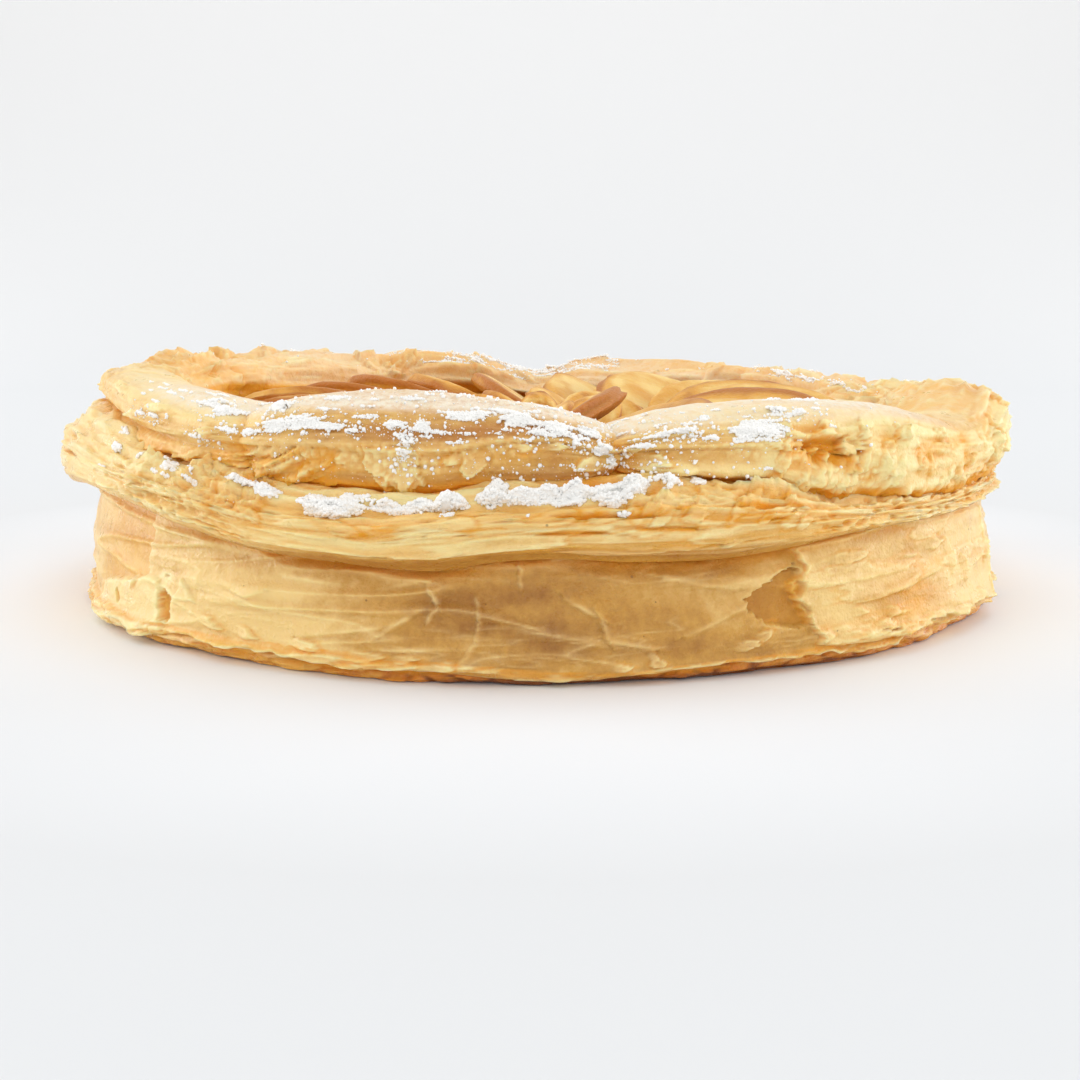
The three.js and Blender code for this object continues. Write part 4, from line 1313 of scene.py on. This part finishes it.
def studio():
    """A white table that runs up into a white wall, soft lights from both sides and above."""
    scene = bpy.context.scene
    scene.view_settings.view_transform = "Standard"
    world = bpy.data.worlds.new("soft_room")
    world.use_nodes = True
    world.node_tree.nodes["Background"].inputs["Color"].default_value = (1.0, 1.0, 1.0, 1)
    world.node_tree.nodes["Background"].inputs["Strength"].default_value = 0.85
    scene.world = world
    sweep = np.linspace(0.05, math.pi / 2, 24)
    profile = [(-2.0, 0), (0.5, 0)] + [(0.5 + 1.2 * math.sin(t), 1.2 - 1.2 * math.cos(t)) for t in sweep]
    y, z = np.array(profile + [(1.7, 3.0)]).T
    x = np.array([-3.0, 3.0])
    points = np.stack(np.broadcast_arrays(x[:, None], y[None], z[None]), -1)
    mesh = bpy.data.meshes.new("white_table")
    mesh.from_pydata(points.reshape(-1, 3).tolist(), [], net(2, len(y), False, False).tolist())
    mesh.polygons.foreach_set("use_smooth", np.ones(len(mesh.polygons), bool))
    table = bpy.data.objects.new("white_table", mesh)
    scene.collection.objects.link(table)
    f = Finish("white_paper_painted_light")
    # Painted light on the table: bluish white close round the tart, against its shadow and the warm light
    # that it throws, grey further out, and white again up the wall, as a painted fall-off of the light.
    far = f.node("ShaderNodeVectorMath", {0: f.spot}, operation="LENGTH").outputs["Value"]
    near = f.mix(f.span(far, 0.05, 0.1), (246, 250, 255), (223, 225, 227))
    f.set(Base_Color=f.mix(f.span(far, 0.4, 1.5), near, (249, 249, 249)), Roughness=0.8)
    mesh.materials.append(f.material)
    soft_light("left_light", (-0.85, 0.25, 0.2), (0, 0, 0.02), 0.5, 3.5)
    soft_light("right_light", (0.85, 0.25, 0.2), (0, 0, 0.02), 0.5, 3.5)
    soft_light("top_light", (0, 0.2, 1.2), (0, 0, 0), 1.0, 1.6)
    soft_light("front_light", (0.1, -0.95, 0.65), (0, 0, 0.01), 0.8, 1.7)
    camera = bpy.data.objects.new("camera", bpy.data.cameras.new("camera"))
    camera.data.lens = 51.6
    aside, back, up, tilt = 0.25, 3.52 * WALL, 0.665 * WALL, 9.35
    camera.location = ((AXIS[0] + aside) * MM, (AXIS[1] - back) * MM, up * MM)
    camera.rotation_euler = (math.radians(90 - tilt), 0, 0)
    camera.data.clip_start = 0.01
    scene.collection.objects.link(camera)
    scene.camera = camera


studio()
ALONG_LAYERS = (0.7, 0.7, 2.0)  # grain squeezed in height, so that it runs along the layers
wall_finish = pastry("baked_wall_skin", (242, 208, 137), (213, 163, 79), (168, 113, 46), depth=0.8, matt=0.4)
base_finish = pastry("browned_base", (240, 180, 84), (218, 138, 52), (138, 78, 34), weight=0.4, depth=0.5)
lip_tones = (245, 212, 138), (219, 167, 78), (188, 127, 46)
lip_finish = pastry("flaky_lip", *lip_tones, weight=0.6, depth=0.5, grain=ALONG_LAYERS)
rim_finish = pastry("baked_rim", (248, 216, 148), (222, 171, 86), (194, 132, 64), depth=0.55, matt=0.35)
sugar_finish = icing_sugar()
side_wall(wall_finish)
base_crust(base_finish)
lip_body(lip_finish)
rim(rim_finish)
case_inside(rim_finish)
apple_bed(stewed_apple())
apple_slices(apple_flesh())
sugar(sugar_finish)
